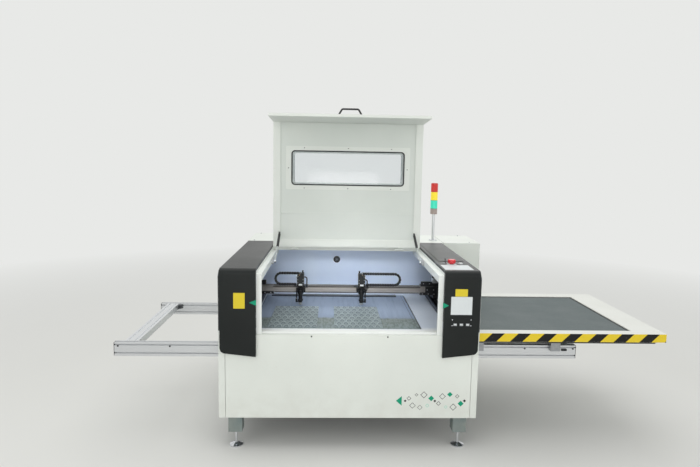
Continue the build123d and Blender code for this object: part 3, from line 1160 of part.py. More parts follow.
# Strut brackets on the inner faces of the rims, each with a short stud.
STUD_TIP = STRUT_X + EYE_THICKNESS / 2 + 1
with BuildPart() as strut_brackets:
    for side in SIDES.values():
        block(mirrored(STRUT_X + STRUT_RADIUS + 1, OPENING, side), about(STRUT_LOW_Y, 16), about(STRUT_LOW_Z, 15))
        stud_x = mirrored(STUD_TIP, STRUT_X + STRUT_RADIUS + 1, side)
        with BuildSketch(across(stud_x[0])):
            with Locations((STRUT_LOW_Y, STRUT_LOW_Z)):
                Circle(STRUT_PIN)
        extrude(amount=stud_x[1] - stud_x[0])
save(strut_brackets, "strut_brackets")

# Glossy control panel on the right console, behind the buttons.
SCREEN_THICKNESS = 2
with BuildPart() as control_screen:
    with BuildSketch(level(CONSOLE_TOP)):
        with Locations((COVER_MIDDLE, (SCREEN_FRONT + SCREEN_REAR) / 2)):
            RectangleRounded(COVER_WIDTH - 2 * SCREEN_MARGIN, SCREEN_REAR - SCREEN_FRONT, 6)
    extrude(amount=SCREEN_THICKNESS)
save(control_screen, "control_screen")

# Emergency stop: mushroom head on a stem through the cover.
with BuildPart() as estop_button:
    with BuildSketch(facing(ESTOP_Y)):
        with BuildLine():
            Polyline((ESTOP_X, COVER_SEAT), (ESTOP_X + ESTOP_STEM, COVER_SEAT),
                     (ESTOP_X + ESTOP_STEM, CONSOLE_TOP + ESTOP_RISE),
                     (ESTOP_X + ESTOP_HEAD - 5, CONSOLE_TOP + ESTOP_RISE),
                     (ESTOP_X + ESTOP_HEAD, CONSOLE_TOP + ESTOP_RISE + 8),
                     (ESTOP_X + ESTOP_HEAD, CONSOLE_TOP + ESTOP_HEIGHT),
                     (ESTOP_X, CONSOLE_TOP + ESTOP_HEIGHT), close=True)
        make_face()
    revolve(axis=Axis((MACHINE_X + ESTOP_X, MACHINE_Y + ESTOP_Y, 0), (0, 0, 1)))
    fillet(estop_button.faces().sort_by(Axis.Z)[-1].edges(), radius=7)
save(estop_button, "estop_button")

# Key switch: a turning barrel with the key standing in it.
with BuildPart() as key_knob:
    with BuildSketch(level(COVER_SEAT)):
        with Locations((KEY_X, KEY_Y)):
            Circle(KEY_STEM)
    extrude(amount=COVER_PROUD + 6)
    block(about(KEY_X, 1.2), about(KEY_Y, 4), (CONSOLE_TOP + 6, CONSOLE_TOP + 14))
    block(about(KEY_X, 1.2), about(KEY_Y, 9), (CONSOLE_TOP + 14, CONSOLE_TOP + 28))
save(key_knob, "key_knob")

# Start button: a flat cap on a stem.
with BuildPart() as start_button:
    with BuildSketch(level(COVER_SEAT)):
        with Locations((START_X, START_Y)):
            Circle(START_STEM)
    extrude(amount=COVER_PROUD + 8)
    chamfer(start_button.faces().sort_by(Axis.Z)[-1].edges(), length=1.5)
save(start_button, "start_button")

# Socket plate on the right cover's front, with three ports and their rims.
SOCKET_X = COVER_MIDDLE
SOCKET_FACE = -COVER_PROUD
with BuildPart() as socket_plate:
    with BuildSketch(facing(SOCKET_FACE)):
        with Locations((SOCKET_X, SOCKET_Z)):
            RectangleRounded(SOCKET_WIDTH, SOCKET_HEIGHT, 4)
    extrude(amount=SHEET)
    with BuildSketch(facing(SOCKET_FACE + 0.5)):
        with Locations((SOCKET_X, SOCKET_Z - 12)):
            with GridLocations(36, 0, 3, 1):
                RectangleRounded(18, 12, 2)
    extrude(amount=SHEET + 1, mode=Mode.SUBTRACT)
save(socket_plate, "socket_plate")

# Signal tower: base and pole, and the stack of three lenses on top.
TOWER_BASE_Z = TOWER_POLE_TOP
TOWER_LENS_Z = TOWER_POLE_TOP + TOWER_BASE_HEIGHT
GROOVE = 1.5
with BuildPart() as signal_pole:
    with BuildSketch(level(CONSOLE_TOP)):
        with Locations((TOWER_X, TOWER_Y)):
            Circle(TOWER_RADIUS + 6)
    extrude(amount=6)
    with BuildSketch(level(CONSOLE_TOP)):
        with Locations((TOWER_X, TOWER_Y)):
            Circle(TOWER_POLE)
    extrude(amount=TOWER_POLE_TOP - CONSOLE_TOP)
    with BuildSketch(level(TOWER_BASE_Z)):
        with Locations((TOWER_X, TOWER_Y)):
            Circle(TOWER_RADIUS)
    extrude(amount=TOWER_BASE_HEIGHT)
save(signal_pole, "signal_pole")

with BuildPart() as signal_lenses:
    for stage in range(3):
        stage_z = TOWER_LENS_Z + stage * TOWER_LENS_HEIGHT
        with BuildSketch(level(stage_z)):
            with Locations((TOWER_X, TOWER_Y)):
                Circle(TOWER_RADIUS - GROOVE)
        extrude(amount=GROOVE)
        with BuildSketch(level(stage_z + GROOVE)):
            with Locations((TOWER_X, TOWER_Y)):
                Circle(TOWER_RADIUS)
        extrude(amount=TOWER_LENS_HEIGHT - GROOVE)
save(signal_lenses, "signal_lenses")
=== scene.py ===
from math import cos, pi, radians, sin

import bmesh
import bpy
import numpy as np
from mathutils import Matrix, Vector


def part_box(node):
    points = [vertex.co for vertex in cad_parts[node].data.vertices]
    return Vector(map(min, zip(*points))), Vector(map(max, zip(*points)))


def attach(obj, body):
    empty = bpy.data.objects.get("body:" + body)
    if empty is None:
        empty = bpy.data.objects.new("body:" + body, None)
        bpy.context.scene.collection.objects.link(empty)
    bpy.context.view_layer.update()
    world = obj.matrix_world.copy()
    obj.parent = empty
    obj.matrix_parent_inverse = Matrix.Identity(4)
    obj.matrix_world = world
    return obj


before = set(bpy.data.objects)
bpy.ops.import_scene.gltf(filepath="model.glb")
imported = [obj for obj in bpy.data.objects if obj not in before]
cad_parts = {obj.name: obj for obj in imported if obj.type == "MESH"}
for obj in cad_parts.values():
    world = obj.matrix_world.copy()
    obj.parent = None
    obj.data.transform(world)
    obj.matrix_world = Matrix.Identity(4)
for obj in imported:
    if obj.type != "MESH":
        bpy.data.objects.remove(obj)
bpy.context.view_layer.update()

# Places are measured as a fitter would: from the middle of the front panel, from its face
# and from the floor.
panel_low, panel_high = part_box("front_panel")
MIDDLE = np.array([(panel_low.x + panel_high.x) / 2, panel_low.y, 0.0])


def placed(x, y, z):
    """Points at distances from the cabinet's middle, from its front and from the floor."""
    x, y, z = np.broadcast_arrays(x, y, z)
    return np.stack([x, y, z], axis=-1).astype(float) + MIDDLE


def node_box(name):
    """Lowest and highest corner of a node, measured from the cabinet's middle and front."""
    low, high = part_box(name)
    return np.array(low) - MIDDLE, np.array(high) - MIDDLE


def centre(name):
    """Middle of a node's box."""
    return sum(node_box(name)) / 2


# Camera, at the eye height of somebody standing four steps in front of the machine.
# The tilt, turn and lens are those of the photograph.
EYE = np.array([-0.1189, -3.1599, 1.6703])
TURN, TILT, ROLL = 0.0347, 0.1229, 0.0177
LENS, SENSOR = 29.23, 36.0

ahead = np.array([sin(TURN) * cos(TILT), cos(TURN) * cos(TILT), -sin(TILT)])
level_right = np.array([cos(TURN), -sin(TURN), 0.0])
level_down = np.cross(ahead, level_right)
image_right = level_right * cos(ROLL) - level_down * sin(ROLL)
image_down = level_right * sin(ROLL) + level_down * cos(ROLL)
camera_data = bpy.data.cameras.new("camera")
camera_data.lens = LENS
camera_data.sensor_width = SENSOR
camera = bpy.data.objects.new("camera", camera_data)
camera.matrix_world = Matrix.Translation(Vector(EYE + MIDDLE)) @ Matrix(
    [[r, -d, -a] for r, d, a in zip(image_right, image_down, ahead)]).to_4x4()
bpy.context.scene.collection.objects.link(camera)
bpy.context.scene.camera = camera
bpy.context.scene.view_settings.view_transform = "Standard"


# Soft studio lights: a large one overhead, one from each side in front, a low one straight
# ahead that reaches under the lid, a narrow one for the chamber and a weak one behind.
def lamp(name, place, aim, size, power, spread=180):
    """Square lamp at a place, turned to an aim, that lights a cone of so many degrees."""
    data = bpy.data.lights.new(name, "AREA")
    data.size = size
    data.energy = power
    data.spread = radians(spread)
    light = bpy.data.objects.new(name, data)
    start = Vector(placed(*place))
    light.location = start
    light.rotation_euler = (Vector(placed(*aim)) - start).to_track_quat("-Z", "Y").to_euler()
    light.visible_camera = False
    bpy.context.scene.collection.objects.link(light)


lamp("overhead", (0.0, 0.4, 5.2), (0.0, 0.6, 0.0), 5.0, 90)
lamp("left_front", (-3.4, -3.6, 2.8), (0.0, 0.5, 0.8), 3.4, 42)
lamp("right_front", (3.6, -3.4, 2.2), (0.1, 0.5, 0.8), 3.4, 32)
lamp("low_front", (0.1, -5.0, 0.9), (0.0, 0.9, 1.4), 1.2, 6.2, 80)
lamp("chamber", (0.0, -1.3, 2.3), (0.08, 0.80, 0.78), 0.5, 0.9, 29)
lamp("behind", (0.5, 5.0, 3.6), (0.0, 0.8, 1.0), 3.0, 34)


# Floor and surroundings: a plain pale floor that fades with distance into the same pale tone all
# round, and keeps the machine's shadow near it.
def colour(red, green, blue):
    """Colour as a paint chart gives it, from 0 to 255, turned into the shader's linear values."""
    shades = np.array([red, green, blue]) / 255.0
    linear = np.where(shades <= 0.04045, shades / 12.92, ((shades + 0.055) / 1.055) ** 2.4)
    return (*linear.tolist(), 1.0)


class Wire:
    """A socket of a material's nodes. Arithmetic on it adds the nodes that work it out."""

    def __init__(self, finish, socket):
        self.finish = finish
        self.socket = socket

    def maths(self, operation, *values):
        """Result of a Math node on this value and others."""
        return self.finish.node("Math", {"operation": operation}, dict(enumerate((self, *values))))

    def __add__(self, other): return self.maths("ADD", other)
    def __sub__(self, other): return self.maths("SUBTRACT", other)
    def __rsub__(self, other): return (self * -1.0).maths("ADD", other)
    def __mul__(self, other): return self.maths("MULTIPLY", other)
    def __truediv__(self, other): return self.maths("DIVIDE", other)
    def __lt__(self, other): return self.maths("LESS_THAN", other)
    def __gt__(self, other): return self.maths("GREATER_THAN", other)
    def __mod__(self, other): return self.maths("FLOORED_MODULO", other)


class Finish:
    """A material under construction: one shader, the place on the object and perhaps a slot."""

    def __init__(self, name, base, roughness, metallic=0.0, **constants):
        self.slot = None
        self.material = bpy.data.materials.new(name)
        self.material.use_nodes = True
        self.tree = self.material.node_tree
        self.shader = self.tree.nodes["Principled BSDF"]
        self.set("Base Color", base)
        self.set("Roughness", roughness)
        self.set("Metallic", metallic)
        for socket, value in constants.items():
            self.set(socket.replace("_", " "), value)
        self.place = self.node("TexCoord", {}, {}, "Object")

    def fill(self, socket, value):
        """Puts a wire or a constant on an input socket."""
        if isinstance(value, Wire):
            self.tree.links.new(value.socket, socket)
        elif hasattr(socket.default_value, "__len__") and not hasattr(value, "__len__"):
            socket.default_value = [value] * len(socket.default_value)
        else:
            socket.default_value = value

    def set(self, name, value):
        """Sets one socket of the shader."""
        self.fill(self.shader.inputs[name], value)

    def node(self, kind, settings, sockets, output=0):
        """Adds a node: its settings first, then the values or wires of its sockets."""
        made = self.tree.nodes.new("ShaderNode" + kind)
        for name, value in settings.items():
            setattr(made, name, value)
        for name, value in sockets.items():
            self.fill(made.inputs[name], value)
        return Wire(self, made.outputs[output])

    def axes(self):
        """The three coordinates of the place."""
        split = self.node("SeparateXYZ", {}, {0: self.place})
        outputs = split.socket.node.outputs
        return [Wire(self, outputs[name]) for name in "XYZ"]

    def stretched(self, x, y, z):
        """The place with its three coordinates multiplied."""
        return self.node("Mapping", {"vector_type": "POINT"}, {"Vector": self.place, "Scale": (x, y, z)})

    def noise(self, scale, detail=2.0, place=None, roughness=0.5):
        """Cloudy noise from 0 to 1, with so many blobs to a metre."""
        return self.node("TexNoise", {}, {"Vector": place or self.place, "Scale": scale, "Detail": detail,
                                          "Roughness": roughness}, "Fac")

    def between(self, value, low, high):
        """0 below low, 1 above high and even in between."""
        return self.node("MapRange", {"clamp": True}, {"Value": value, "From Min": low, "From Max": high})

    def mixed(self, factor, first, second):
        """Colour between two, by a factor."""
        made = self.tree.nodes.new("ShaderNodeMix")
        made.data_type = "RGBA"
        for index, value in ((0, factor), (6, first), (7, second)):
            self.fill(made.inputs[index], value)
        return Wire(self, made.outputs[2])

    def clouded(self, scale, detail, share, tones, swing, smoothest):
        """Mixes two tones by a share of a noise, and lets the roughness swing with it."""
        cloud = self.noise(scale, detail)
        self.set("Base Color", self.mixed(cloud * share, *tones))
        self.set("Roughness", cloud * swing + smoothest)

    def bump(self, height, distance, strength=1.0):
        """Raises the surface by a height field."""
        self.set("Normal", self.node("Bump", {}, {"Height": height, "Distance": distance,
                                                  "Strength": strength}, "Normal"))


FLOOR_TONE = colour(222, 222, 219)
SURROUNDING = colour(232, 233, 231)
SURROUNDING_LIGHT = 0.8
FLOOR_HALF = 40.0
FADE_START, FADE_END = 2.6, 7.5
floor_mesh = bpy.data.meshes.new("floor")
floor_ends = (-FLOOR_HALF, FLOOR_HALF)
floor_mesh.from_pydata([(x, y, 0.0) for x in floor_ends for y in floor_ends], [], [(0, 2, 3, 1)])
floor = bpy.data.objects.new("floor", floor_mesh)
bpy.context.scene.collection.objects.link(floor)
floor_finish = Finish("floor", FLOOR_TONE, 0.8)
floor_cloud = floor_finish.noise(1.3, 4.0)
floor_finish.set("Base Color", floor_finish.mixed(floor_cloud * 0.3, FLOOR_TONE, colour(214, 214, 210)))
floor_x, floor_y, _ = floor_finish.axes()
distance = (floor_x * floor_x + floor_y * floor_y).maths("SQRT")
far = floor_finish.node("Emission", {}, {"Color": SURROUNDING, "Strength": 1.0})
faded = floor_finish.node("MixShader", {}, {0: floor_finish.between(distance, FADE_START, FADE_END),
                                            2: far})
floor_finish.tree.links.new(floor_finish.shader.outputs["BSDF"], faded.socket.node.inputs[1])
floor_finish.tree.links.new(faded.socket, floor_finish.tree.nodes["Material Output"].inputs["Surface"])
floor_mesh.materials.append(floor_finish.material)

world = bpy.data.worlds.new("studio")
world.use_nodes = True
bpy.context.scene.world = world
links = world.node_tree.links
sky = world.node_tree.nodes["Background"]
sky.inputs["Color"].default_value = SURROUNDING
rays = world.node_tree.nodes.new("ShaderNodeLightPath")
seen = world.node_tree.nodes.new("ShaderNodeMath")
seen.operation = "MAXIMUM"
mirrored = world.node_tree.nodes.new("ShaderNodeMath")
mirrored.operation = "MAXIMUM"
links.new(rays.outputs["Is Glossy Ray"], mirrored.inputs[0])
links.new(rays.outputs["Is Transmission Ray"], mirrored.inputs[1])
links.new(rays.outputs["Is Camera Ray"], seen.inputs[0])
links.new(mirrored.outputs[0], seen.inputs[1])
strength = world.node_tree.nodes.new("ShaderNodeMapRange")
strength.inputs["To Min"].default_value = SURROUNDING_LIGHT
links.new(seen.outputs[0], strength.inputs["Value"])
links.new(strength.outputs[0], sky.inputs["Strength"])


# White cabinet: folded sheet steel, welded, ground and powder coated. The coat has a fine
# orange peel, softly cloudy gloss, and a little dust and scuffing near the floor.
def dress(finish, *names):
    """Puts a finish on CAD nodes."""
    for name in names:
        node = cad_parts[name]
        node.data.materials.clear()
        node.data.materials.append(finish.material)


WHITE = colour(224, 228, 222)
WHITE_SHADE = colour(216, 220, 214)
DUST = colour(176, 171, 158)
PEEL_SCALE, PEEL_HEIGHT = 420.0, 0.00025


def powder_coat(name, tone, shade, roughness, dust_top):
    """Powder coat of one tone: cloudy colour and gloss, orange peel, and dust that thins out upwards."""
    coat = Finish(name, tone, roughness)
    cloud = coat.noise(2.6, 4.0)
    scuff = coat.between(coat.noise(38.0, 6.0, coat.stretched(1.0, 1.0, 2.6), 0.65), 0.62, 0.72)
    height = coat.axes()[2]
    dust = coat.between(height, dust_top, 0.1) * coat.between(coat.noise(14.0, 5.0), 0.35, 0.75)
    painted = coat.mixed(coat.between(cloud, 0.3, 0.75), tone, shade)
    painted = coat.mixed(scuff * 0.12, painted, DUST)
    coat.painted = coat.mixed(dust * 0.3, painted, DUST)
    coat.set("Base Color", coat.painted)
    coat.set("Roughness", cloud * 0.12 + scuff * 0.1 + dust * 0.2 + (roughness - 0.06))
    coat.bump(coat.noise(PEEL_SCALE, 2.0), PEEL_HEIGHT, 0.35)
    return coat


white_coat = powder_coat("white_powder_coat", WHITE, WHITE_SHADE, 0.42, 0.42)
dress(white_coat, "front_panel", "rear_panel", "rear_top_cover", "tube_housing", "tube_cover",
      "lid_shell", "window_frame", "lid_hinges")
# Console rims: the white coat a shade brighter. This is painted light, so that the rims read as lit.
lit_rim_coat = powder_coat("rim_powder_coat", colour(240, 243, 240), colour(233, 237, 234), 0.42, 0.42)
dress(lit_rim_coat, "console_rims")

# Base frame and legs: square steel tube, welded into one frame that carries the whole cabinet,
# then painted grey.
frame_coat = powder_coat("frame_powder_coat", colour(118, 131, 130), colour(106, 118, 118), 0.48, 0.5)
dress(frame_coat, "base_frame")

# Tables: the same white coat, a shade whiter. The left one stands in the chamber's bluish work light, and
# its coat carries that light as painted light: bluish over the table, whiter towards the front edge.
table_coat = powder_coat("table_powder_coat", colour(229, 230, 225), colour(221, 222, 216), 0.4, 0.3)
dress(table_coat, "table_frame_right")
lit_table_coat = powder_coat("lit_table_powder_coat", colour(218, 227, 240), colour(210, 220, 236), 0.4,
                             0.3)
# Painted light: the coat turns whiter towards the front edge, outside the chamber's light.
FRONT_LIGHT_FROM, FRONT_LIGHT_TO = MIDDLE[1] + 0.14, MIDDLE[1] + 0.06
front_light = lit_table_coat.between(lit_table_coat.axes()[1], FRONT_LIGHT_FROM, FRONT_LIGHT_TO)
lit_table_coat.set("Base Color", lit_table_coat.mixed(front_light, lit_table_coat.painted,
                                                      colour(246, 248, 246)))
dress(lit_table_coat, "table_frame_left")

# Side panels: white outside. Inside, where the gantry's ends run behind the console covers, they are
# painted black above the shelves. Inside, where the gantry's ends run behind the console covers,
# they are sprayed dull black so that the rails and belts there don't show. This is painted shade,
# the shade that the covers cast there.
SHADE_BLACK = colour(34, 36, 40)
side_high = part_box("side_panel_right")[1]
side_coat = powder_coat("side_powder_coat", WHITE, WHITE_SHADE, 0.42, 0.42)
side_x, _, side_z = side_coat.axes()
SHELF_HEIGHT = 0.714
OUTER_SKIN = 0.001
inner_face = side_high.x - MIDDLE[0] - OUTER_SKIN
# Painted shade: black on the inner faces above the shelves.
shaded_inside = ((side_x - MIDDLE[0]).maths("ABSOLUTE") < inner_face) * (side_z > SHELF_HEIGHT)
side_coat.set("Base Color", side_coat.mixed(shaded_inside, side_coat.painted, SHADE_BLACK))
dress(side_coat, "side_panel_left", "side_panel_right")

# Inside of the cabinet: the rear wall has the same coat, painted in the cooler, bluish tone that the work
# light gives it. This is painted light. The shelves beside it lie in the covers' shade, and their dark
# coat is painted shade.
blue_lit_coat = powder_coat("inner_powder_coat", colour(222, 236, 255), colour(210, 225, 252), 0.38, 0.3)
dress(blue_lit_coat, "chamber_rear_wall")
# Painted shade: the shelves' dark navy stands for the covers' shade over them.
shelf_shade_coat = powder_coat("shelf_powder_coat", colour(44, 50, 64), colour(34, 39, 50), 0.5, 0.3)
dress(shelf_shade_coat, "console_shelf_left", "console_shelf_right")


# Zinc-plated steel: spigots, brackets, the tray and small screws, pressed or turned and then
# plated, with the soft patches that the plating leaves.
ZINC = colour(186, 188, 190)
ZINC_DULL = colour(150, 153, 156)
zinc = Finish("zinc_plate", ZINC, 0.38, 0.8)
zinc.slot = "zinc_steel"
zinc_patch = zinc.node("TexVoronoi", {"feature": "F1"}, {"Vector": zinc.place, "Scale": 90.0}, "Distance")
zinc_cloud = zinc.noise(30.0, 4.0)
zinc.set("Base Color", zinc.mixed(zinc_patch * 0.6 + zinc_cloud * 0.3, ZINC, ZINC_DULL))
zinc.set("Roughness", zinc_cloud * 0.3 + 0.26)
zinc.bump(zinc_cloud, 0.0002, 0.3)
dress(zinc, "exhaust_spigots", "debris_tray", "strut_brackets")


# Black painted parts: the gantry's motor and ends, its guides, the gas struts' cylinders and the
# lid's handle, all steel or cast metal that is screwed on.
def black_finish(name, tone, worn, roughness, metallic, grain):
    """Black surface with a grain of so many blobs to a metre and slightly paler worn patches."""
    made = Finish(name, tone, roughness, metallic)
    fine = made.noise(grain, 3.0)
    patch = made.between(made.noise(22.0, 5.0), 0.5, 0.8)
    made.set("Base Color", made.mixed(fine * 0.3 + patch * 0.4, tone, worn))
    made.set("Roughness", fine * 0.14 + patch * 0.12 + (roughness - 0.08))
    made.bump(fine, 0.0003, 0.35)
    return made


machine_black = black_finish("black_paint", colour(14, 15, 18), colour(30, 31, 34), 0.38, 0.0, 260.0)
machine_black.slot = "black_metal"
dress(machine_black, "gantry_motor", "gantry_ends", "strut_cylinder_left", "strut_cylinder_right",
      "lid_handle", "y_guides")

# Front panel: one folded sheet. Two black screws hold its lip. Printed diamonds run to the right
# along its lower part, in a wave and in turning sizes, behind a green triangle.
def closed(name, rings, finish, body="machine"):
    """Pieces closed all round, from places rings[copy, ring, step]: each ring joins the next one step
    by step, the last step joins the first, and a ring without width closes an end."""
    copies, count, steps = rings.shape[:3]
    corner = np.arange(copies * count * steps).reshape(copies, count, steps)
    here, there = corner[:, :-1], corner[:, 1:]
    faces = np.stack([here, np.roll(here, -1, 2), np.roll(there, -1, 2), there], axis=-1).reshape(-1, 4)
    mesh = bpy.data.meshes.new(name)
    mesh.from_pydata((rings + MIDDLE).reshape(-1, 3).tolist(), [], faces.tolist())
    work = bmesh.new()
    work.from_mesh(mesh)
    bmesh.ops.remove_doubles(work, verts=work.verts, dist=2e-6)
    bmesh.ops.recalc_face_normals(work, faces=work.faces)
    work.to_mesh(mesh)
    work.free()
    mesh.shade_smooth()
    mesh.set_sharp_from_angle(angle=radians(32))
    mesh.materials.append(finish.material)
    piece = bpy.data.objects.new(name, mesh)
    bpy.context.scene.collection.objects.link(piece)
    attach(piece, body)


def standing(places, out, outline, profile):
    """Rings of like pieces on a face: the outline, in the plane square to out, is scaled by the
    profile's first number and raised by its second. Its upper side points up, or to the rear where
    the face isn't upright."""
    up = UP if out[2] == 0 else BACK
    out = np.array(out, float) / np.linalg.norm(out)
    across = np.cross(up, out)
    across = across / np.linalg.norm(across)
    flat = np.outer(outline[:, 0], across) + np.outer(outline[:, 1], np.cross(out, across))
    scale, rise = np.array(profile, float).T[:, None, :, None, None]
    return np.array(places, float).reshape(-1, 1, 1, 3) + scale * flat + rise * out


def raised(name, places, out, outline, profile, finish, body="machine"):
    """Like pieces on a face, closed all round."""
    closed(name, standing(places, out, outline, profile), finish, body)


def polygon(*corners):
    """Outline through corners, in metres."""
    return np.array(corners, float)


def oval(width, height, steps=20):
    """Ellipse: cosine across and sine up."""
    turn = np.arange(steps) * 2 * pi / steps
    return np.stack([np.cos(turn) * width / 2, np.sin(turn) * height / 2], axis=1)


def rounded(width, height, radius, steps=5):
    """Rectangle with round corners: a quarter circle round each corner's centre."""
    turn = np.linspace(0, pi / 2, steps)
    arc = np.stack([np.cos(turn), np.sin(turn)], axis=1) * radius
    quarter = np.array([[0, -1], [1, 0]])
    corners = []
    for x, y in ((1, 1), (-1, 1), (-1, -1), (1, -1)):
        corners.append(arc + [x * (width / 2 - radius), y * (height / 2 - radius)])
        arc = arc @ quarter.T
    return np.concatenate(corners)


def plate(thickness, edge=0.0):
    """Profile of a flat piece: foot, side, a narrow slope along its edge and top."""
    return [(0, 0), (1, 0), (1, thickness - edge), (1 - edge * 8, thickness), (0, thickness)]


def ring(inner, thickness):
    """Profile of a flat ring, whose hole is a share of its outline."""
    return [(inner, 0), (1, 0), (1, thickness * 0.7), (0.97, thickness), (inner, thickness), (inner, 0)]


def screws(name, places, out, radius, finish, body="machine"):
    """Pan-head screws with a round recess: a dome profile turned about the way out."""
    heights = np.array([(0, 0), (1, 0), (1, 0.5), (0.84, 0.8), (0.5, 0.92), (0.42, 0.45), (0, 0.4)])
    profile = [(scale, height * radius) for scale, height in heights]
    raised(name, places, out, oval(2 * radius, 2 * radius, 14), profile, finish, body)


FRONT, BACK, LEFT, RIGHT = (0, -1, 0), (0, 1, 0), (-1, 0, 0), (1, 0, 0)
UP, DOWN = (0, 0, 1), (0, 0, -1)

screws("lip_screws", [(-0.219, 0, 0.683), (0.219, 0, 0.683)], FRONT, 0.0045, machine_black)


def print_ink(name, tone, shade):
    """Ink or foil on a face: two close tones in a fine mottle, with an uneven gloss."""
    ink = Finish(name, tone, 0.45, Specular_IOR_Level=0.25)
    ink.clouded(180.0, 4.0, 0.7, (tone, shade), 0.2, 0.36)
    return ink


INK_THICKNESS = 0.0004
DIAMOND = polygon((0, -0.5), (0.5, 0), (0, 0.5), (-0.5, 0))
black_ink = print_ink("black_ink", colour(32, 32, 34), colour(52, 52, 54))
green_ink = print_ink("green_ink", colour(10, 146, 110), colour(22, 156, 122))
mint_ink = print_ink("mint_ink", colour(150, 206, 186), colour(168, 214, 198))
MARKS = np.arange(17)
mark_x = 0.330 + 0.0218 * MARKS
mark_z = 0.300 + 0.040 * np.sin(2.75 * MARKS)
mark_size = 0.016 + 0.028 * (0.38 * MARKS % 1.0)


def scatter(name, ink, profile, chosen):
    """Some of the flat diamonds on the front panel. Their places step evenly across, their heights
    are a sine of the step, and their sizes the fraction of a multiple of it."""
    rings = []
    for step in chosen:
        rings.append(standing([(mark_x[step], 0, mark_z[step])], FRONT, DIAMOND * mark_size[step],
                              profile))
    closed(name, np.concatenate(rings), ink)


scatter("black_diamonds", black_ink, plate(INK_THICKNESS), (0, 8, 16))
scatter("small_outlines", black_ink, ring(0.74, INK_THICKNESS), (1, 3, 9, 14))
scatter("large_outlines", black_ink, ring(0.82, INK_THICKNESS), (2, 4, 5, 10, 13))
scatter("green_diamonds", green_ink, plate(INK_THICKNESS), (7, 12, 15))
scatter("mint_outlines", mint_ink, ring(0.70, INK_THICKNESS), (6, 11))
TRIANGLE = polygon((0.5, 0), (-0.5, 0.5), (-0.5, -0.5))
raised("green_mark", [(0.293, 0, 0.300)], FRONT, TRIANGLE * [-0.034, 0.058], plate(INK_THICKNESS),
       green_ink)

# Side panels: a hatch with two quarter-turn locks on each, and two columns of pressed louvres beside the
# power supplies. A dark ring round the hatch and a dark strip under each louvre are painted shade: the
# shade of the hatch's gap and of the louvres' openings.
HATCH, HATCH_SHADE = rounded(0.62, 0.22, 0.02), rounded(0.627, 0.227, 0.0235)
LOUVRE, LOUVRE_SHADE = rounded(0.11, 0.012, 0.005), rounded(0.098, 0.0045, 0.002)
gap_shade_tone = print_ink("shadow_gap", colour(86, 90, 88), colour(72, 76, 74))
LOUVRE_PROFILE = [(0, 0), (1, 0), (0.92, 0.0025), (0.6, 0.004), (0, 0.0045)]
LOCK_PROFILE = [(0, 0), (1, 0), (1, 0.002), (0.8, 0.003), (0.2, 0.003), (0.2, 0.001), (0, 0.001)]
HATCH_Y, HATCH_Z, HATCH_THICKNESS = 0.62, 0.38, 0.0015
LOUVRE_Z, LOUVRE_PITCH, SHADE_DROP = 0.46, 0.024, 0.0075
CABINET_SCREW = 0.005
side_face = side_high.x - MIDDLE[0]
for side_name, side in (("left", -1), ("right", 1)):
    out = (side, 0, 0)
    raised(f"side_hatch_{side_name}", [(side * side_face, HATCH_Y, HATCH_Z)], out, HATCH,
           plate(HATCH_THICKNESS, 0.0004), side_coat, "machine")
    # Painted shade: a dark ring round the hatch.
    raised(f"hatch_shade_{side_name}", [(side * side_face, HATCH_Y, HATCH_Z)], out, HATCH_SHADE,
           plate(INK_THICKNESS), gap_shade_tone)
    locks = [(side * (side_face + HATCH_THICKNESS), y, HATCH_Z) for y in (0.34, 0.90)]
    raised(f"hatch_locks_{side_name}", locks, out, oval(0.024, 0.024), LOCK_PROFILE, zinc)
    louvres = [(side * side_face, y, LOUVRE_Z + row * LOUVRE_PITCH) for y in (1.30, 1.43)
               for row in range(8)]
    raised(f"side_louvres_{side_name}", louvres, out, LOUVRE, LOUVRE_PROFILE, side_coat, "machine")
    # Painted shade: a dark strip under each louvre.
    shade_strips = [(x, y, z - SHADE_DROP) for x, y, z in louvres]
    raised(f"louvre_shade_{side_name}", shade_strips, out, LOUVRE_SHADE, plate(INK_THICKNESS), gap_shade_tone)
    heads = [(side * side_face, y, z) for y in (1.18, 1.56) for z in (0.24, 0.50, 0.74)]
    heads += [(side * side_face, y, 0.24) for y in (0.06, 0.45, 0.80)]
    screws(f"side_screws_{side_name}", heads, out, CABINET_SCREW, zinc)

# Rear: screws round the panel and the tube cover, a band clamp on each exhaust spigot, and a
# rocker switch beside the inlet.
rear_high = node_box("rear_panel")[1]
cover_low, cover_high = node_box("tube_cover")
heads = [(x, rear_high[1], z) for x in np.linspace(-0.72, 0.72, 7) for z in (0.213, 0.762)]
screws("rear_screws", heads, BACK, CABINET_SCREW, zinc)
heads = [(x, cover_high[1], z) for x in np.linspace(cover_low[0] + 0.02, cover_high[0] - 0.02, 9) for z in
         (cover_low[2] + 0.015, cover_high[2] - 0.015)]
screws("tube_cover_screws", heads, BACK, CABINET_SCREW, zinc)
SPIGOT_CENTRES = [(-0.3, 1.622, 0.48), (0.3, 1.622, 0.48)]
SPIGOT_BAND = 0.1516
BAND_PROFILE = [(0.992, 0), (1, 0), (1.012, 0.002), (1.012, 0.010), (1, 0.012), (0.992, 0.012),
                (0.992, 0)]
raised("spigot_bands", SPIGOT_CENTRES, BACK, oval(SPIGOT_BAND, SPIGOT_BAND, 64), BAND_PROFILE, zinc)
moulded_black = black_finish("moulded_nylon", colour(12, 13, 18), colour(26, 28, 34), 0.5, 0.0, 1200.0)
moulded_black.slot = "black_plastic"
dress(moulded_black, "drag_chain_left", "drag_chain_right", "power_inlet", "cable_port", "key_knob")
SWITCH_X, SWITCH_Z = -0.53, 0.33
SWITCH_RIM = [(0, 0), (1, 0), (1, 0.003), (0.86, 0.004), (0.84, 0.001), (0, 0.001)]
ROCKER_PROFILE = [(0, 0), (1, 0), (1, 0.004), (0.8, 0.006), (0.4, 0.0045), (0, 0.0042)]
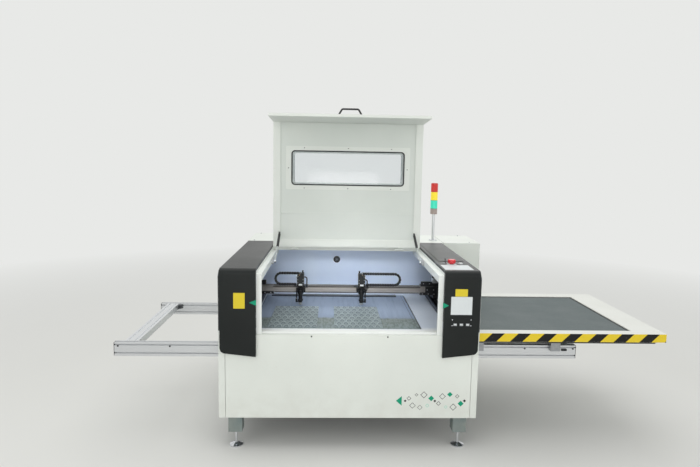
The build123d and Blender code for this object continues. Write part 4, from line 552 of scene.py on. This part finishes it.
raised("switch_frame", [(SWITCH_X, rear_high[1], SWITCH_Z)], BACK, rounded(0.034, 0.028, 0.003),
       SWITCH_RIM, moulded_black)
raised("switch_rocker", [(SWITCH_X, rear_high[1] + 0.001, SWITCH_Z)], BACK,
       rounded(0.026, 0.020, 0.002), ROCKER_PROFILE, moulded_black)

# Cable port: a moulded black plug pressed into the rear wall. Pale brush strips close the star of
# slits that the cables pass through.
port_face = node_box("cable_port")[0][1]
port_x, _, port_z = centre("cable_port")
brush = print_ink("brush_strip", colour(150, 156, 166), colour(112, 118, 128))
STRIP = polygon((-0.018, -0.0011), (0.018, -0.0011), (0.018, 0.0011), (-0.018, 0.0011))
strips = []
for turn in range(4):
    angle = turn * pi / 4
    turned = STRIP @ np.array([[cos(angle), sin(angle)], [-sin(angle), cos(angle)]])
    strips.append(standing([(port_x, port_face + 0.0022, port_z)], FRONT, turned,
                           plate(0.0012 + turn * 0.0001)))
closed("port_brushes", np.concatenate(strips), brush, "machine")

# Console covers: sheet steel folded to a rounded front and screwed down over the shelves. Their
# dark coat is finely textured, and paler where hands rub it.
CHARCOAL = colour(10, 16, 15)
CHARCOAL_RUBBED = colour(24, 30, 29)
cover_coat = Finish("charcoal_textured_coat", CHARCOAL, 0.42, Specular_IOR_Level=0.3)
cover_grain = cover_coat.noise(900.0, 3.0)
cover_cloud = cover_coat.between(cover_coat.noise(3.2, 5.0), 0.4, 0.8)
cover_coat.set("Base Color", cover_coat.mixed(cover_cloud * 0.35 + cover_grain * 0.1, CHARCOAL,
                                              CHARCOAL_RUBBED))
cover_coat.set("Roughness", cover_cloud * 0.08 + cover_grain * 0.06 + 0.32)
cover_coat.bump(cover_grain, 0.0004, 0.5)
dress(cover_coat, "console_cover_left", "console_cover_right", "socket_plate")

# Blank plates and sheets on the covers' fronts: yellow foil plates, a pale sheet, and a green
# arrow on each side. They carry no words or signs.
COVER_FACE = -0.015
PLATE_THICKNESS = 0.0012
yellow_foil = print_ink("yellow_foil", colour(212, 190, 40), colour(222, 202, 62))
pale_sheet = print_ink("pale_sheet", colour(218, 223, 224), colour(202, 208, 210))
raised("yellow_plate_right", [(0.632, COVER_FACE, 0.9495)], FRONT, rounded(0.071, 0.043, 0.002),
       plate(PLATE_THICKNESS, 0.0003), yellow_foil)
raised("yellow_plate_left", [(-0.628, COVER_FACE, 0.892)], FRONT, rounded(0.064, 0.090, 0.002),
       plate(PLATE_THICKNESS, 0.0003), yellow_foil)
raised("pale_sheet_right", [(0.635, COVER_FACE, 0.874)], FRONT, rounded(0.122, 0.105, 0.002),
       plate(PLATE_THICKNESS, 0.0003), pale_sheet)
raised("arrow_right", [(0.545, COVER_FACE, 0.8745)], FRONT, TRIANGLE * [0.034, 0.036],
       plate(INK_THICKNESS), green_ink)
raised("arrow_left", [(-0.552, COVER_FACE, 0.881)], FRONT, TRIANGLE * [-0.040, 0.034],
       plate(INK_THICKNESS), green_ink)

# Socket plate: a small steel plate let into the right cover. White and silver ports fill its
# three openings, and a bright screw holds each corner.
socket_face = node_box("socket_plate")[0][1]
socket_x, _, socket_z = centre("socket_plate")
PORT_PITCH, PORT_HEIGHT = 0.036, 0.764
BRIGHT = colour(222, 224, 228)
chrome = Finish("chrome", BRIGHT, 0.08, 1.0)
chrome.slot = "chrome"
chrome.clouded(24.0, 4.0, 0.3, (BRIGHT, colour(196, 199, 204)), 0.12, 0.05)
dress(chrome, "strut_rod_left", "strut_rod_right", "levelling_feet")
ports = [(socket_x + PORT_PITCH * step, COVER_FACE, PORT_HEIGHT) for step in (-1, 0, 1)]
raised("port_shells", ports, FRONT, rounded(0.020, 0.015, 0.0015), ring(0.8, 0.0035), zinc)
raised("port_tongues", ports, FRONT, rounded(0.0155, 0.009, 0.0008), plate(0.0025, 0.0003), pale_sheet,
       "machine")
heads = [(socket_x + x, socket_face, socket_z + z) for x in (-0.054, 0.054) for z in (-0.017, 0.017)]
screws("socket_screws", heads, FRONT, 0.0035, chrome)

# Controls: red mushroom head over a pale ring, key switch in a bright ring, white start cap in
# its bezel, the pale strip in front of them and the glossy dark panel behind them.
CONSOLE_HEIGHT = 1.073
centres = {}
for name in ("estop_button", "key_knob", "start_button"):
    centres[name] = (*centre(name)[:2], CONSOLE_HEIGHT)
STOP_RED, CAP_WHITE = colour(214, 34, 44), colour(226, 228, 226)
stop_red = Finish("stop_red", STOP_RED, 0.28, Coat_Weight=0.4)
stop_red.clouded(60.0, 3.0, 1.0, (STOP_RED, colour(196, 26, 36)), 0.15, 0.2)
dress(stop_red, "estop_button")
raised("estop_ring", [centres["estop_button"]], UP, oval(0.060, 0.060, 40), ring(0.42, 0.0015),
       pale_sheet, "machine")
raised("key_ring", [centres["key_knob"]], UP, oval(0.028, 0.028, 32), ring(0.75, 0.003), chrome)
raised("start_ring", [centres["start_button"]], UP, oval(0.034, 0.034, 32), ring(0.76, 0.003), zinc)
cap_white = Finish("cap_white", CAP_WHITE, 0.3)
cap_cloud = cap_white.noise(60.0, 3.0)
cap_white.set("Base Color", cap_white.mixed(cap_cloud, CAP_WHITE, colour(208, 212, 212)))
dress(cap_white, "start_button")
raised("label_strip", [(0.628, 0.112, CONSOLE_HEIGHT)], UP, rounded(0.166, 0.150, 0.004),
       plate(0.0008, 0.0002), pale_sheet)
glass_black = Finish("panel_gloss", colour(24, 28, 28), 0.3, Specular_IOR_Level=0.4)
glass_black.clouded(7.0, 4.0, 1.0, (colour(18, 22, 22), colour(30, 34, 34)), 0.12, 0.34)
dress(glass_black, "control_screen")

# Tube housing: a long box of folded sheet. A seam runs over it where the part beyond the cabinet is
# joined on, drawn as a grey line of painted shade, and screws hold its lid.
housing_low, housing_high = node_box("tube_housing")
SEAM_X = side_face + 0.004
# Painted shade: the grey line along the seam.
seam_shade_tone = print_ink("seam_shadow", colour(150, 154, 150), colour(168, 171, 167))
raised("housing_seam", [(SEAM_X, housing_low[1], (housing_low[2] + housing_high[2]) / 2)], FRONT,
       rounded(0.0025, housing_high[2] - housing_low[2] - 0.004, 0.001), plate(0.0006), seam_shade_tone,
       "machine")
raised("housing_top_seam", [(SEAM_X, (housing_low[1] + housing_high[1]) / 2, housing_high[2])], UP,
       rounded(0.0025, housing_high[1] - housing_low[1] - 0.004, 0.001), plate(0.0006), seam_shade_tone,
       "machine")
heads = [(x, y, housing_high[2]) for x in (-0.70, -0.35, 0.0, 0.35, 0.96) for y in
         (housing_low[1] + 0.03, housing_high[1] - 0.03)]
screws("housing_screws", heads, UP, CABINET_SCREW, zinc)


# Clear parts: the lid's tinted acrylic pane, the acrylic base sheet that lies on the left table, and the
# two laser tubes of blown glass in the housing. The base sheet's blue over its rear part is a painted
# reflection of the rear wall; in front it turns grey-green with flecks.
def clear_sheet(name, tone, alpha, roughness):
    """See-through sheet: faint long scratches and a little haze."""
    made = Finish(name, tone, roughness, 0.0, Alpha=alpha, IOR=1.49)
    scratch = made.between(made.noise(1.0, 5.0, made.stretched(26.0, 400.0, 90.0), 0.7), 0.66, 0.74)
    haze = made.noise(4.0, 4.0)
    made.set("Roughness", scratch * 0.3 + haze * 0.08 + roughness)
    made.set("Alpha", scratch * 0.12 + haze * 0.08 + (alpha - 0.04))
    return made


pane = clear_sheet("lid_pane", colour(206, 216, 222), 0.24, 0.03)
dress(pane, "lid_window")
# Painted reflection: the blue is the rear wall mirrored in the sheet. It gives way to grey-green towards
# the front.
SHEET_WALL_REFLECTION, SHEET_FRONT_GREY = colour(186, 204, 232), colour(170, 184, 182)
FRONT_GREY_FULL, REFLECTION_FULL = MIDDLE[1] + 0.345, MIDDLE[1] + 0.385
base_sheet = clear_sheet("base_sheet", SHEET_WALL_REFLECTION, 0.72, 0.06)
sheet_y = base_sheet.axes()[1]
wipe = base_sheet.noise(1.0, 4.0, base_sheet.stretched(42.0, 3.0, 1.0))
# Share of the front's grey-green, where the painted reflection ends.
front_grey = base_sheet.between(sheet_y + wipe * 0.06, REFLECTION_FULL, FRONT_GREY_FULL)
fleck = base_sheet.between(base_sheet.noise(70.0, 3.0, base_sheet.stretched(1.0, 0.3, 1.0)), 0.45, 0.6)
sheet_tone = base_sheet.mixed(front_grey, SHEET_WALL_REFLECTION, base_sheet.mixed(fleck * 0.6, SHEET_FRONT_GREY,
                                                                 colour(116, 130, 128)))
base_sheet.set("Base Color", base_sheet.mixed(base_sheet.between(wipe, 0.5, 0.75) * 0.3, sheet_tone,
                                              colour(120, 134, 142)))
dress(base_sheet, "clear_sheet")
tube_glass = clear_sheet("tube_glass", colour(214, 226, 230), 0.35, 0.04)
dress(tube_glass, "laser_tubes")


# Aluminium profiles: table rails and gantry beam, extruded, anodised and sawn to length. The die
# leaves faint lines along each.
def extruded(name, tone, lines):
    """Anodised extrusion: streaks that run along one axis, given as multipliers of the place."""
    metal = Finish(name, tone, 0.34, 0.85)
    streak = metal.noise(1.0, 4.0, metal.stretched(*lines), 0.6)
    cloud = metal.noise(5.0, 3.0)
    metal.set("Base Color", metal.mixed(streak * 0.5 + cloud * 0.2, tone, colour(176, 178, 180)))
    metal.set("Roughness", streak * 0.22 + cloud * 0.08 + 0.22)
    metal.bump(streak, 0.0002, 0.3)
    return metal


SILVER = colour(222, 224, 226)
DIE_LINES, DIE_LENGTH = 420.0, 1.2
ALONG_X, ALONG_Y = (DIE_LENGTH, DIE_LINES, DIE_LINES), (DIE_LINES, DIE_LENGTH, DIE_LINES)
ALONG_Z = (DIE_LINES, DIE_LINES, DIE_LENGTH)
rail_metal = extruded("anodised_rail", SILVER, ALONG_X)
dress(rail_metal, "rail_front", "rail_rear")
cross_metal = extruded("anodised_cross_rail", SILVER, ALONG_Y)
beam_metal = extruded("anodised_beam", colour(138, 132, 126), ALONG_X)
dress(beam_metal, "gantry_beam")

# Cross rails: the same profile turned across and screwed between the table rails, with die-cast
# corner brackets painted dark.
cross_x = cross_metal.axes()[0]
cross_high = node_box("cross_rails")[1]
bracket_reach = (cross_x - MIDDLE[0]).maths("ABSOLUTE") < cross_high[0] - 0.0802
cross_metal.set("Base Color", cross_metal.mixed(bracket_reach, SILVER, colour(92, 94, 98)))
cross_metal.set("Metallic", (1.0 - bracket_reach) * 0.85)
dress(cross_metal, "cross_rails")

# Rail ends: moulded black caps, held by two screws each. Black screws in front hold the cross
# rails, and a black block stops the right table.
rail_low, rail_high = node_box("rail_front")
RAIL_YS = (centre("rail_front")[1], centre("rail_rear")[1])
RAIL_Z = centre("rail_front")[2]
CAP = 0.003
for side_name, end_x, out in (("left", rail_low[0], LEFT), ("right", rail_high[0], RIGHT)):
    raised(f"rail_caps_{side_name}", [(end_x, y, RAIL_Z) for y in RAIL_YS], out,
           rounded(0.0396, 0.0796, 0.003), plate(CAP, 0.0008), moulded_black)
    heads = [(end_x + out[0] * CAP, y, RAIL_Z + z) for y in RAIL_YS for z in (-0.022, 0.022)]
    screws(f"cap_screws_{side_name}", heads, out, 0.0045, zinc)
heads = [(x, rail_low[1], 0.599) for x in (-1.339, -1.041, 1.041, 1.330)]
screws("rail_screws", heads, FRONT, 0.005, machine_black)
raised("rail_stop", [(1.276, rail_low[1], 0.593)], FRONT, rounded(0.032, 0.013, 0.002),
       plate(0.006, 0.001), moulded_black)

# Table runners: black bars screwed under the tables, on bare steel shoes that slide along the
# rails.
RUNNER_SPLIT = 0.6435
runner_black = black_finish("runner_black", colour(24, 25, 27), colour(44, 45, 48), 0.4, 0.0, 260.0)
runner_z = runner_black.axes()[2]
shoe = runner_z < RUNNER_SPLIT
shoe_grain = runner_black.noise(60.0, 4.0)
runner_black.set("Base Color", runner_black.mixed(shoe, colour(30, 31, 33), runner_black.mixed(
    shoe_grain, colour(168, 170, 172), colour(136, 139, 142))))
runner_black.set("Metallic", shoe * 0.8)
dress(runner_black, "table_runners_left", "table_runners_right")

# Hazard tape along each table's front edge: black and yellow stripes that lean to the right.
# The left table's tape ends below the front panel's ledge. A black strip hangs under each edge, along the
# frame's bottom.
STRIPE_PITCH, STRIPE_START, STRIPE_BLACK, STRIPE_BLUR = 0.1538, -0.0618, 0.48, 0.008
TAPE_BOTTOM = 0.6525
YELLOW, TAPE_BLACK = colour(226, 198, 44), colour(10, 10, 10)
edge_black = black_finish("edge_black_strip", colour(14, 14, 15), colour(28, 28, 29), 0.7, 0.0, 900.0)
tape = Finish("hazard_tape", YELLOW, 0.42, Specular_IOR_Level=0.3)
tape_x, _, tape_z = tape.axes()
stripe_place = ((tape_x - MIDDLE[0] - tape_z - STRIPE_START) / STRIPE_PITCH % 1.0 - 0.5).maths("ABSOLUTE")
stripe = tape.between(stripe_place, STRIPE_BLACK / 2 + STRIPE_BLUR, STRIPE_BLACK / 2 - STRIPE_BLUR)
wear = tape.between(tape.noise(90.0, 6.0), 0.66, 0.8)
tape.set("Base Color", tape.mixed(wear * 0.25, tape.mixed(stripe, YELLOW, TAPE_BLACK),
                                  colour(190, 184, 160)))
tape.set("Roughness", wear * 0.3 + 0.36)
for side_name, tape_top in (("left", 0.689), ("right", 0.7012)):
    table_low, table_high = node_box(f"table_frame_{side_name}")
    middle_x = (table_low[0] + table_high[0]) / 2
    wide = table_high[0] - table_low[0]
    raised(f"hazard_tape_{side_name}", [(middle_x, table_low[1], (TAPE_BOTTOM + tape_top) / 2)], FRONT,
           rounded(wide - 0.002, tape_top - TAPE_BOTTOM, 0.001), plate(INK_THICKNESS), tape,
           f"table_{side_name}")
    raised(f"edge_strip_{side_name}", [(middle_x - 0.017, table_low[1] + 0.0065, table_low[2])], DOWN,
           rounded(wide - 0.094, 0.012, 0.002), plate(0.0075, 0.0008), edge_black, f"table_{side_name}")

# Table beds: fine honeycomb under a dark worn coat; the cells read as an even grey grain.
# A dark band along the sides and the rear, widest at the rear, is painted shade: the shade of the frame's
# lip over the recessed bed.
BED = colour(105, 115, 116)
BED_DARK = colour(90, 100, 101)
CELLS = 180.0
SHADE_SIDE, SHADE_REAR, SHADE_BLUR = 0.016, 0.020, 0.001
for side_name in ("left", "right"):
    bed_coat = Finish(f"bed_honeycomb_{side_name}", BED, 0.6, 0.25)
    bed_cell = bed_coat.node("TexVoronoi", {"feature": "DISTANCE_TO_EDGE"},
                             {"Vector": bed_coat.stretched(1.0, 1.0, 0.0), "Scale": CELLS,
                              "Randomness": 0.15}, "Distance")
    bed_wall = bed_coat.between(bed_cell, 0.14, 0.05)
    bed_soot = bed_coat.between(bed_coat.noise(5.0, 6.0), 0.35, 0.8)
    bed_low, bed_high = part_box(f"table_bed_{side_name}")
    bed_x, bed_y, _ = bed_coat.axes()
    half = (bed_high.x - bed_low.x) / 2 - SHADE_SIDE
    beside = (bed_x - (bed_low.x + bed_high.x) / 2).maths("ABSOLUTE")
    # Painted shade along the bed's sides and rear.
    lip_shade = bed_coat.between(beside, half, half + SHADE_BLUR).maths(
        "MAXIMUM", bed_coat.between(bed_y, bed_high.y - SHADE_REAR, bed_high.y - SHADE_REAR + SHADE_BLUR))
    bed_tone = bed_coat.mixed(bed_wall * 0.35 + bed_soot * 0.4, BED_DARK, BED)
    bed_coat.set("Base Color", bed_coat.mixed(lip_shade, bed_tone, colour(36, 40, 42)))
    bed_coat.set("Roughness", bed_soot * 0.2 + 0.5)
    bed_coat.bump(bed_wall, 0.0008, 0.5)
    dress(bed_coat, f"table_bed_{side_name}")

# Left table: a black bar lies along the clear sheet's rear edge, and the sheet's right edge and the mark
# beside it show as two dark lines.
sheet_low, sheet_high = node_box("clear_sheet")
SHEET_TOP = sheet_high[2]
raised("sheet_bar", [(-0.085, sheet_high[1] - 0.026, SHEET_TOP)], UP, rounded(0.911, 0.050, 0.004),
       plate(0.0055, 0.0006), machine_black, "table_left")
edges = [(sheet_high[0] - step, (sheet_low[1] + sheet_high[1]) / 2, SHEET_TOP)
         for step in (0.0018, 0.0205)]
raised("sheet_edge_lines", edges, UP, rounded(0.0024, sheet_high[1] - sheet_low[1] - 0.002, 0.0008),
       plate(0.0005), black_ink, "table_left")

# Sample panels: grey sheet engraved all over with small staggered pale arches on a speckled ground, each
# with a dark arc inside it that is painted shade of the engraving. The arches wander a little, as lace
# does.
SAMPLE_GROUND = colour(122, 137, 140)
SAMPLE_WHITE, SAMPLE_ARCH_SHADE = colour(208, 217, 218), colour(62, 76, 82)
ARCH_WIDTH, ARCH_ROW, ARCH_WANDER = 0.042, 0.064, 0.008
ARCH_BLUR = 0.002
sample = Finish("engraved_sheet", SAMPLE_GROUND, 0.4)
sample_x, sample_y, _ = sample.axes()
wander = (sample.noise(30.0, 3.0) - 0.5) * ARCH_WANDER
warped = sample_y + wander
row = (warped / ARCH_ROW).maths("FLOOR")
across = (((sample_x + wander) / ARCH_WIDTH + row * 0.5) % 1.0 - 0.5) * ARCH_WIDTH
along = (warped / ARCH_ROW % 1.0) * (ARCH_WIDTH / 2)
reach = (across * across + along * along).maths("SQRT")


def arch_between(inner, outer):
    """1 where the reach lies between two radii, with soft edges."""
    rising = sample.between(reach, inner, inner + ARCH_BLUR)
    return rising * sample.between(reach, outer + ARCH_BLUR, outer)


# The inner dark arc is painted shade of the engraving.
pale_arch, arch_shade = arch_between(0.0140, 0.0180), arch_between(0.0070, 0.0120)
speckle = sample.between(sample.noise(120.0, 4.0), 0.5, 0.62)
patchy = sample.between(sample.noise(14.0, 3.0), 0.35, 0.65)
engraved = sample.mixed(pale_arch * (patchy * 0.4 + 0.35) + speckle * 0.2, SAMPLE_GROUND, SAMPLE_WHITE)
sample.set("Base Color", sample.mixed(arch_shade * (1.0 - patchy * 0.3), engraved, SAMPLE_ARCH_SHADE))
sample.set("Roughness", pale_arch * 0.25 + 0.3)
sample.bump(pale_arch, 0.0004, 0.6)
dress(sample, "sample_panels")

# Gantry beam: a toothed belt runs along its upper slot, a dark strip along its lower edge, and
# a black tray on its top carries the hoses' cable.
beam_low, beam_high = node_box("gantry_beam")
BEAM_FACE, BELT_Z = beam_low[1] + 0.010, beam_low[2] + 0.042
belt_rubber = black_finish("belt_rubber", colour(26, 26, 27), colour(44, 44, 45), 0.62, 0.0, 900.0)
TRAY_MIDDLE = beam_low[1] + 0.0195
belt_x = belt_rubber.axes()[0]
belt_rubber.bump(belt_rubber.between((belt_x / 0.005 % 1.0 - 0.5).maths("ABSOLUTE"), 0.2, 0.3), 0.0008,
                 0.8)
dress(belt_rubber, "window_gasket")
raised("head_belt", [(0, BEAM_FACE, BELT_Z)], FRONT, rounded(1.010, 0.005, 0.0008),
       plate(0.0014, 0.0002), belt_rubber, "gantry")
raised("beam_tray", [(0, TRAY_MIDDLE, beam_high[2])], UP, rounded(0.996, 0.018, 0.002),
       plate(0.0015, 0.0004), machine_black, "gantry")
raised("beam_strip", [(0, BEAM_FACE, beam_low[2] + 0.003)], FRONT, rounded(0.990, 0.005, 0.0008),
       plate(0.0012, 0.0002), machine_black, "gantry")

# Gantry ends: screws in the clamp plates and the motor bracket, the beam's mirror with its
# three adjusting screws, and the motor's end cap.
BRACKET_FACE = node_box("gantry_ends")[0][1]
heads = [(side * x, BRACKET_FACE, beam_low[2]) for side in (-1, 1) for x in (0.520, 0.560, 0.600, 0.640)]
heads += [(x, BRACKET_FACE, 0.815) for x in (0.552, 0.596, 0.640)]
screws("clamp_screws", heads, FRONT, 0.004, zinc, "gantry")
FLUSH_HEAD = [(0, 0), (1, 0), (1, 0.0006), (0.9, 0.0009), (0.45, 0.0009), (0.4, 0.0004), (0, 0.0004)]
raised("bracket_screws", [(x, BEAM_FACE, 0.856) for x in (0.526, 0.568)], FRONT, oval(0.008, 0.008, 14),
       FLUSH_HEAD, zinc, "gantry")
MIRROR_Y, MIRROR_Z = 0.710, 0.850
GOLD = colour(214, 186, 120)
mirror_glass = Finish("mirror_face", GOLD, 0.08, 1.0)
mirror_glass.clouded(60.0, 3.0, 1.0, (GOLD, colour(226, 204, 150)), 0.1, 0.04)
raised("beam_mirror", [(-0.558, MIRROR_Y, MIRROR_Z)], RIGHT, oval(0.021, 0.021, 28),
       plate(0.001, 0.0003), mirror_glass, "gantry")
knobs = [(-0.604, MIRROR_Y + y, MIRROR_Z + z) for y, z in ((-0.018, 0.006), (0.018, 0.006),
                                                           (-0.018, -0.008))]
KNOB_PROFILE = [(0, 0), (0.5, 0), (0.5, 0.004), (1, 0.004), (1, 0.009), (0.8, 0.010), (0, 0.010)]
raised("mirror_knobs", knobs, LEFT, oval(0.009, 0.009, 16), KNOB_PROFILE, chrome, "gantry")
motor_low, motor_high = node_box("gantry_motor")
motor_x, motor_y = (motor_low[0] + motor_high[0]) / 2, motor_low[1] + 0.0285
raised("motor_cap", [(motor_x, motor_y, motor_high[2])], UP, oval(0.034, 0.034, 32),
       plate(0.002, 0.0006), zinc, "gantry")
heads = [(motor_x + x, motor_y + y, motor_high[2]) for x in (-0.0235, 0.0235) for y in (-0.0235, 0.0235)]
screws("motor_screws", heads, UP, 0.003, zinc, "gantry")
STACK_PROFILE = [(0.98, 0), (1, 0), (1.004, 0.002), (1.004, 0.032), (1, 0.034), (0.98, 0.034), (0.98, 0)]
raised("motor_stack", [(motor_x, motor_y, motor_low[2] + 0.018)], UP, rounded(0.0576, 0.0576, 0.006),
       STACK_PROFILE, zinc, "gantry")

# Laser heads: black anodised blocks. Each has a pale blank plate and four screws in front, a
# round mirror with three adjusting screws on its shoulder, and a clamp on the belt.
head_black = black_finish("black_anodised", colour(13, 15, 17), colour(30, 32, 34), 0.38, 0.2, 700.0)
dress(head_black, "head_left", "head_right")
tube_black = black_finish("black_focus_tube", colour(13, 15, 17), colour(30, 32, 34), 0.34, 0.2, 700.0)
TIP_TOP = 0.731
tip = tube_black.axes()[2] < TIP_TOP
tube_black.set("Base Color", tube_black.mixed(tip, colour(16, 18, 20), tube_black.mixed(
    tube_black.noise(60.0), colour(206, 208, 212), colour(176, 178, 184))))
tube_black.set("Metallic", tip * 0.7 + 0.2)
dress(tube_black, "focus_tube_left", "focus_tube_right")
HEAD_HALF, BODY_FACE, BODY_MIDDLE, BODY_TOP = 0.050, 0.592, 0.6145, 0.932
SHOULDER_RUN, SHOULDER_FALL, MIRROR_PLATE = 0.029, 0.032, 0.003
TOOTH_TURN = np.arange(96) * 2 * pi / 96
TOOTH_RADIUS = 0.0166 + 0.0005 * np.sign(np.sin(TOOTH_TURN * 24))
knurl = np.stack([np.cos(TOOTH_TURN) * TOOTH_RADIUS, np.sin(TOOTH_TURN) * TOOTH_RADIUS], axis=1)
ADJUSTER_PROFILE = [(0, -0.006), (0.5, -0.006), (0.5, 0), (1, 0), (1, 0.0035), (0.8, 0.0045), (0, 0.0045)]
KNURL_PROFILE = [(0.94, 0), (0.97, 0), (1, 0.001), (1, 0.011), (0.97, 0.012), (0.94, 0.012), (0.94, 0)]
NOZZLE_Y = 0.612
for side_name, side in (("left", -1), ("right", 1)):
    head_x = node_box(f"head_{side_name}")[0][0] + HEAD_HALF
    body = f"head_{side_name}"
    raised(f"head_plate_{side_name}", [(head_x + 0.001, BODY_FACE, 0.8555)], FRONT,
           rounded(0.024, 0.011, 0.001), plate(0.0008, 0.0002), pale_sheet, body)
    heads = [(head_x + x, BODY_FACE, z) for x in (-0.018, 0.018) for z in (0.870, 0.890)]
    screws(f"head_screws_{side_name}", heads, FRONT, 0.0028, zinc, body)
    out = np.array([side * SHOULDER_FALL, 0, SHOULDER_RUN])
    out = out / np.linalg.norm(out)
    shoulder = np.array([head_x + side * 0.0085, BODY_MIDDLE, BODY_TOP - SHOULDER_FALL / 2])
    slope = np.cross(out, BACK)
    raised(f"head_mirror_{side_name}", [shoulder + out * MIRROR_PLATE], out, oval(0.021, 0.021, 28),
           plate(0.0008, 0.0002), mirror_glass, body)
    knobs = [shoulder + out * 2 * MIRROR_PLATE + np.array(BACK) * y + slope * along for y, along in
             ((-0.017, -0.017), (0.017, -0.017), (-0.017, 0.017), (0.017, 0.017))]
    raised(f"shoulder_knobs_{side_name}", knobs, out, oval(0.0085, 0.0085, 16), ADJUSTER_PROFILE,
           chrome, body)
    raised(f"belt_clamp_{side_name}", [(head_x, 0.6565, 0.823)], UP, rounded(0.028, 0.012, 0.001),
           plate(0.0105, 0.0004), zinc, body)
    raised(f"focus_knurl_{side_name}", [(head_x, NOZZLE_Y, 0.743)], UP, knurl, KNURL_PROFILE,
           head_black, f"focus_{side_name}")
    raised(f"hose_collar_{side_name}", [(head_x + side * 0.026, NOZZLE_Y, 0.758)], UP,
           oval(0.012, 0.012, 24), ring(0.74, 0.0025), zinc, f"focus_{side_name}")

# Lid: shell in the white coat, liner in a greyer copy of it that is painted shade. Pressed ribs cross the
# liner, small screws hold the window's frame, and a rubber trim closes the window's cut edge on the
# outside.
# Painted shade: the liner's tone is a shade greyer than the white coat.
shaded_liner_coat = powder_coat("liner_powder_coat", colour(213, 218, 212), colour(206, 212, 206), 0.45, 0.3)
dress(shaded_liner_coat, "lid_liner")
liner_face = node_box("lid_liner")[0][1]
RIB_PROFILE = [(0, -0.0005), (1, -0.0005), (0.995, 0.0012), (0.98, 0.0022), (0, 0.0022)]
ribs = [(0, liner_face, 1.311), (0, liner_face, 1.122)]
raised("liner_ribs", ribs, FRONT, rounded(0.948, 0.010, 0.004), RIB_PROFILE, shaded_liner_coat, "lid")
frame_face = node_box("window_frame")[0][1]
heads = [(x, frame_face, z) for x in (-0.309, 0.0, 0.306) for z in (1.773, 1.491)]
heads += [(x, frame_face, 1.631) for x in (-0.420, 0.420)]
screws("frame_screws", heads, FRONT, 0.0032, moulded_black, "lid")
shell_back = node_box("lid_shell")[1][1]
pane_z = centre("lid_window")[2]
TRIM_PROFILE = [(0.965, -0.001), (1, -0.001), (1, 0.0012), (0.99, 0.002), (0.972, 0.002), (0.965, 0.0012),
                (0.965, -0.001)]
raised("window_trim", [(0, shell_back, pane_z)], BACK, rounded(0.785, 0.228, 0.022, 9), TRIM_PROFILE,
       belt_rubber, "lid")

# Signal tower: pole, collar and three moulded lenses, red over yellow over green, with upright ribs,
# under a shallow domed cap. Lenses and cap glow faintly in their own tones, a painted glow, and the ribs'
# crests carry a pale painted highlight.
POLE_SILVER = colour(214, 216, 218)
pole_metal = extruded("anodised_pole", POLE_SILVER, ALONG_Z)
pole_z = pole_metal.axes()[2]
pole_top = node_box("signal_pole")[1][2]
collar = pole_z > pole_top - 0.043
pole_metal.set("Base Color", pole_metal.mixed(collar, POLE_SILVER, colour(172, 156, 150)))
pole_metal.set("Metallic", (1.0 - collar) * 0.85)
dress(pole_metal, "signal_pole")
lens_low, lens_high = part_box("signal_lenses")
tower_x, tower_y = (lens_low.x + lens_high.x) / 2, (lens_low.y + lens_high.y) / 2
STAGE = (lens_high.z - lens_low.z) / 3
RED, AMBER, GREEN = colour(196, 14, 10), colour(250, 222, 44), colour(44, 220, 186)
# Painted glow: a faint emission on every stage and on the cap.
lens = Finish("signal_lens", GREEN, 0.32, Coat_Weight=0.1, Emission_Strength=0.25)
lens_x, lens_y, lens_z = lens.axes()
stage_tone = lens.mixed(lens_z > lens_low.z + STAGE, GREEN, AMBER)
stage_tone = lens.mixed(lens_z > lens_low.z + 2 * STAGE, stage_tone, RED)
around = (lens_x - tower_x).maths("ARCTAN2", lens_y - tower_y)
rib = (around * 26.0).maths("SINE")
joint_line = ((lens_z - lens_low.z) % STAGE) < 0.0018
stage_tone = lens.mixed(joint_line, stage_tone, colour(40, 40, 42))
# Painted highlight: the ribs' crests are mixed towards pale white.
lens.set("Base Color", lens.mixed(lens.between(rib, 0.2, 1.0) * 0.06, stage_tone, colour(255, 250, 235)))
lens.set("Emission Color", stage_tone)
lens.bump(rib, 0.0008, 0.6)
dress(lens, "signal_lenses")
tower = (tower_x - MIDDLE[0], tower_y - MIDDLE[1])
DOME_PROFILE = [(0, -0.001), (1, -0.001), (1, 0.001), (0.9, 0.0035), (0.6, 0.0055), (0, 0.0065)]
SCREW_CIRCLE, SCREW_HEIGHT = 0.0245, 1.079
raised("tower_cap", [(*tower, lens_high.z)], UP, oval(0.053, 0.053, 40), DOME_PROFILE, lens, "machine")
heads = [(tower[0] + SCREW_CIRCLE * cos(turn), tower[1] + SCREW_CIRCLE * sin(turn), SCREW_HEIGHT)
         for turn in (0.5, 2.6, 4.7)]
screws("tower_screws", heads, UP, 0.003, zinc)
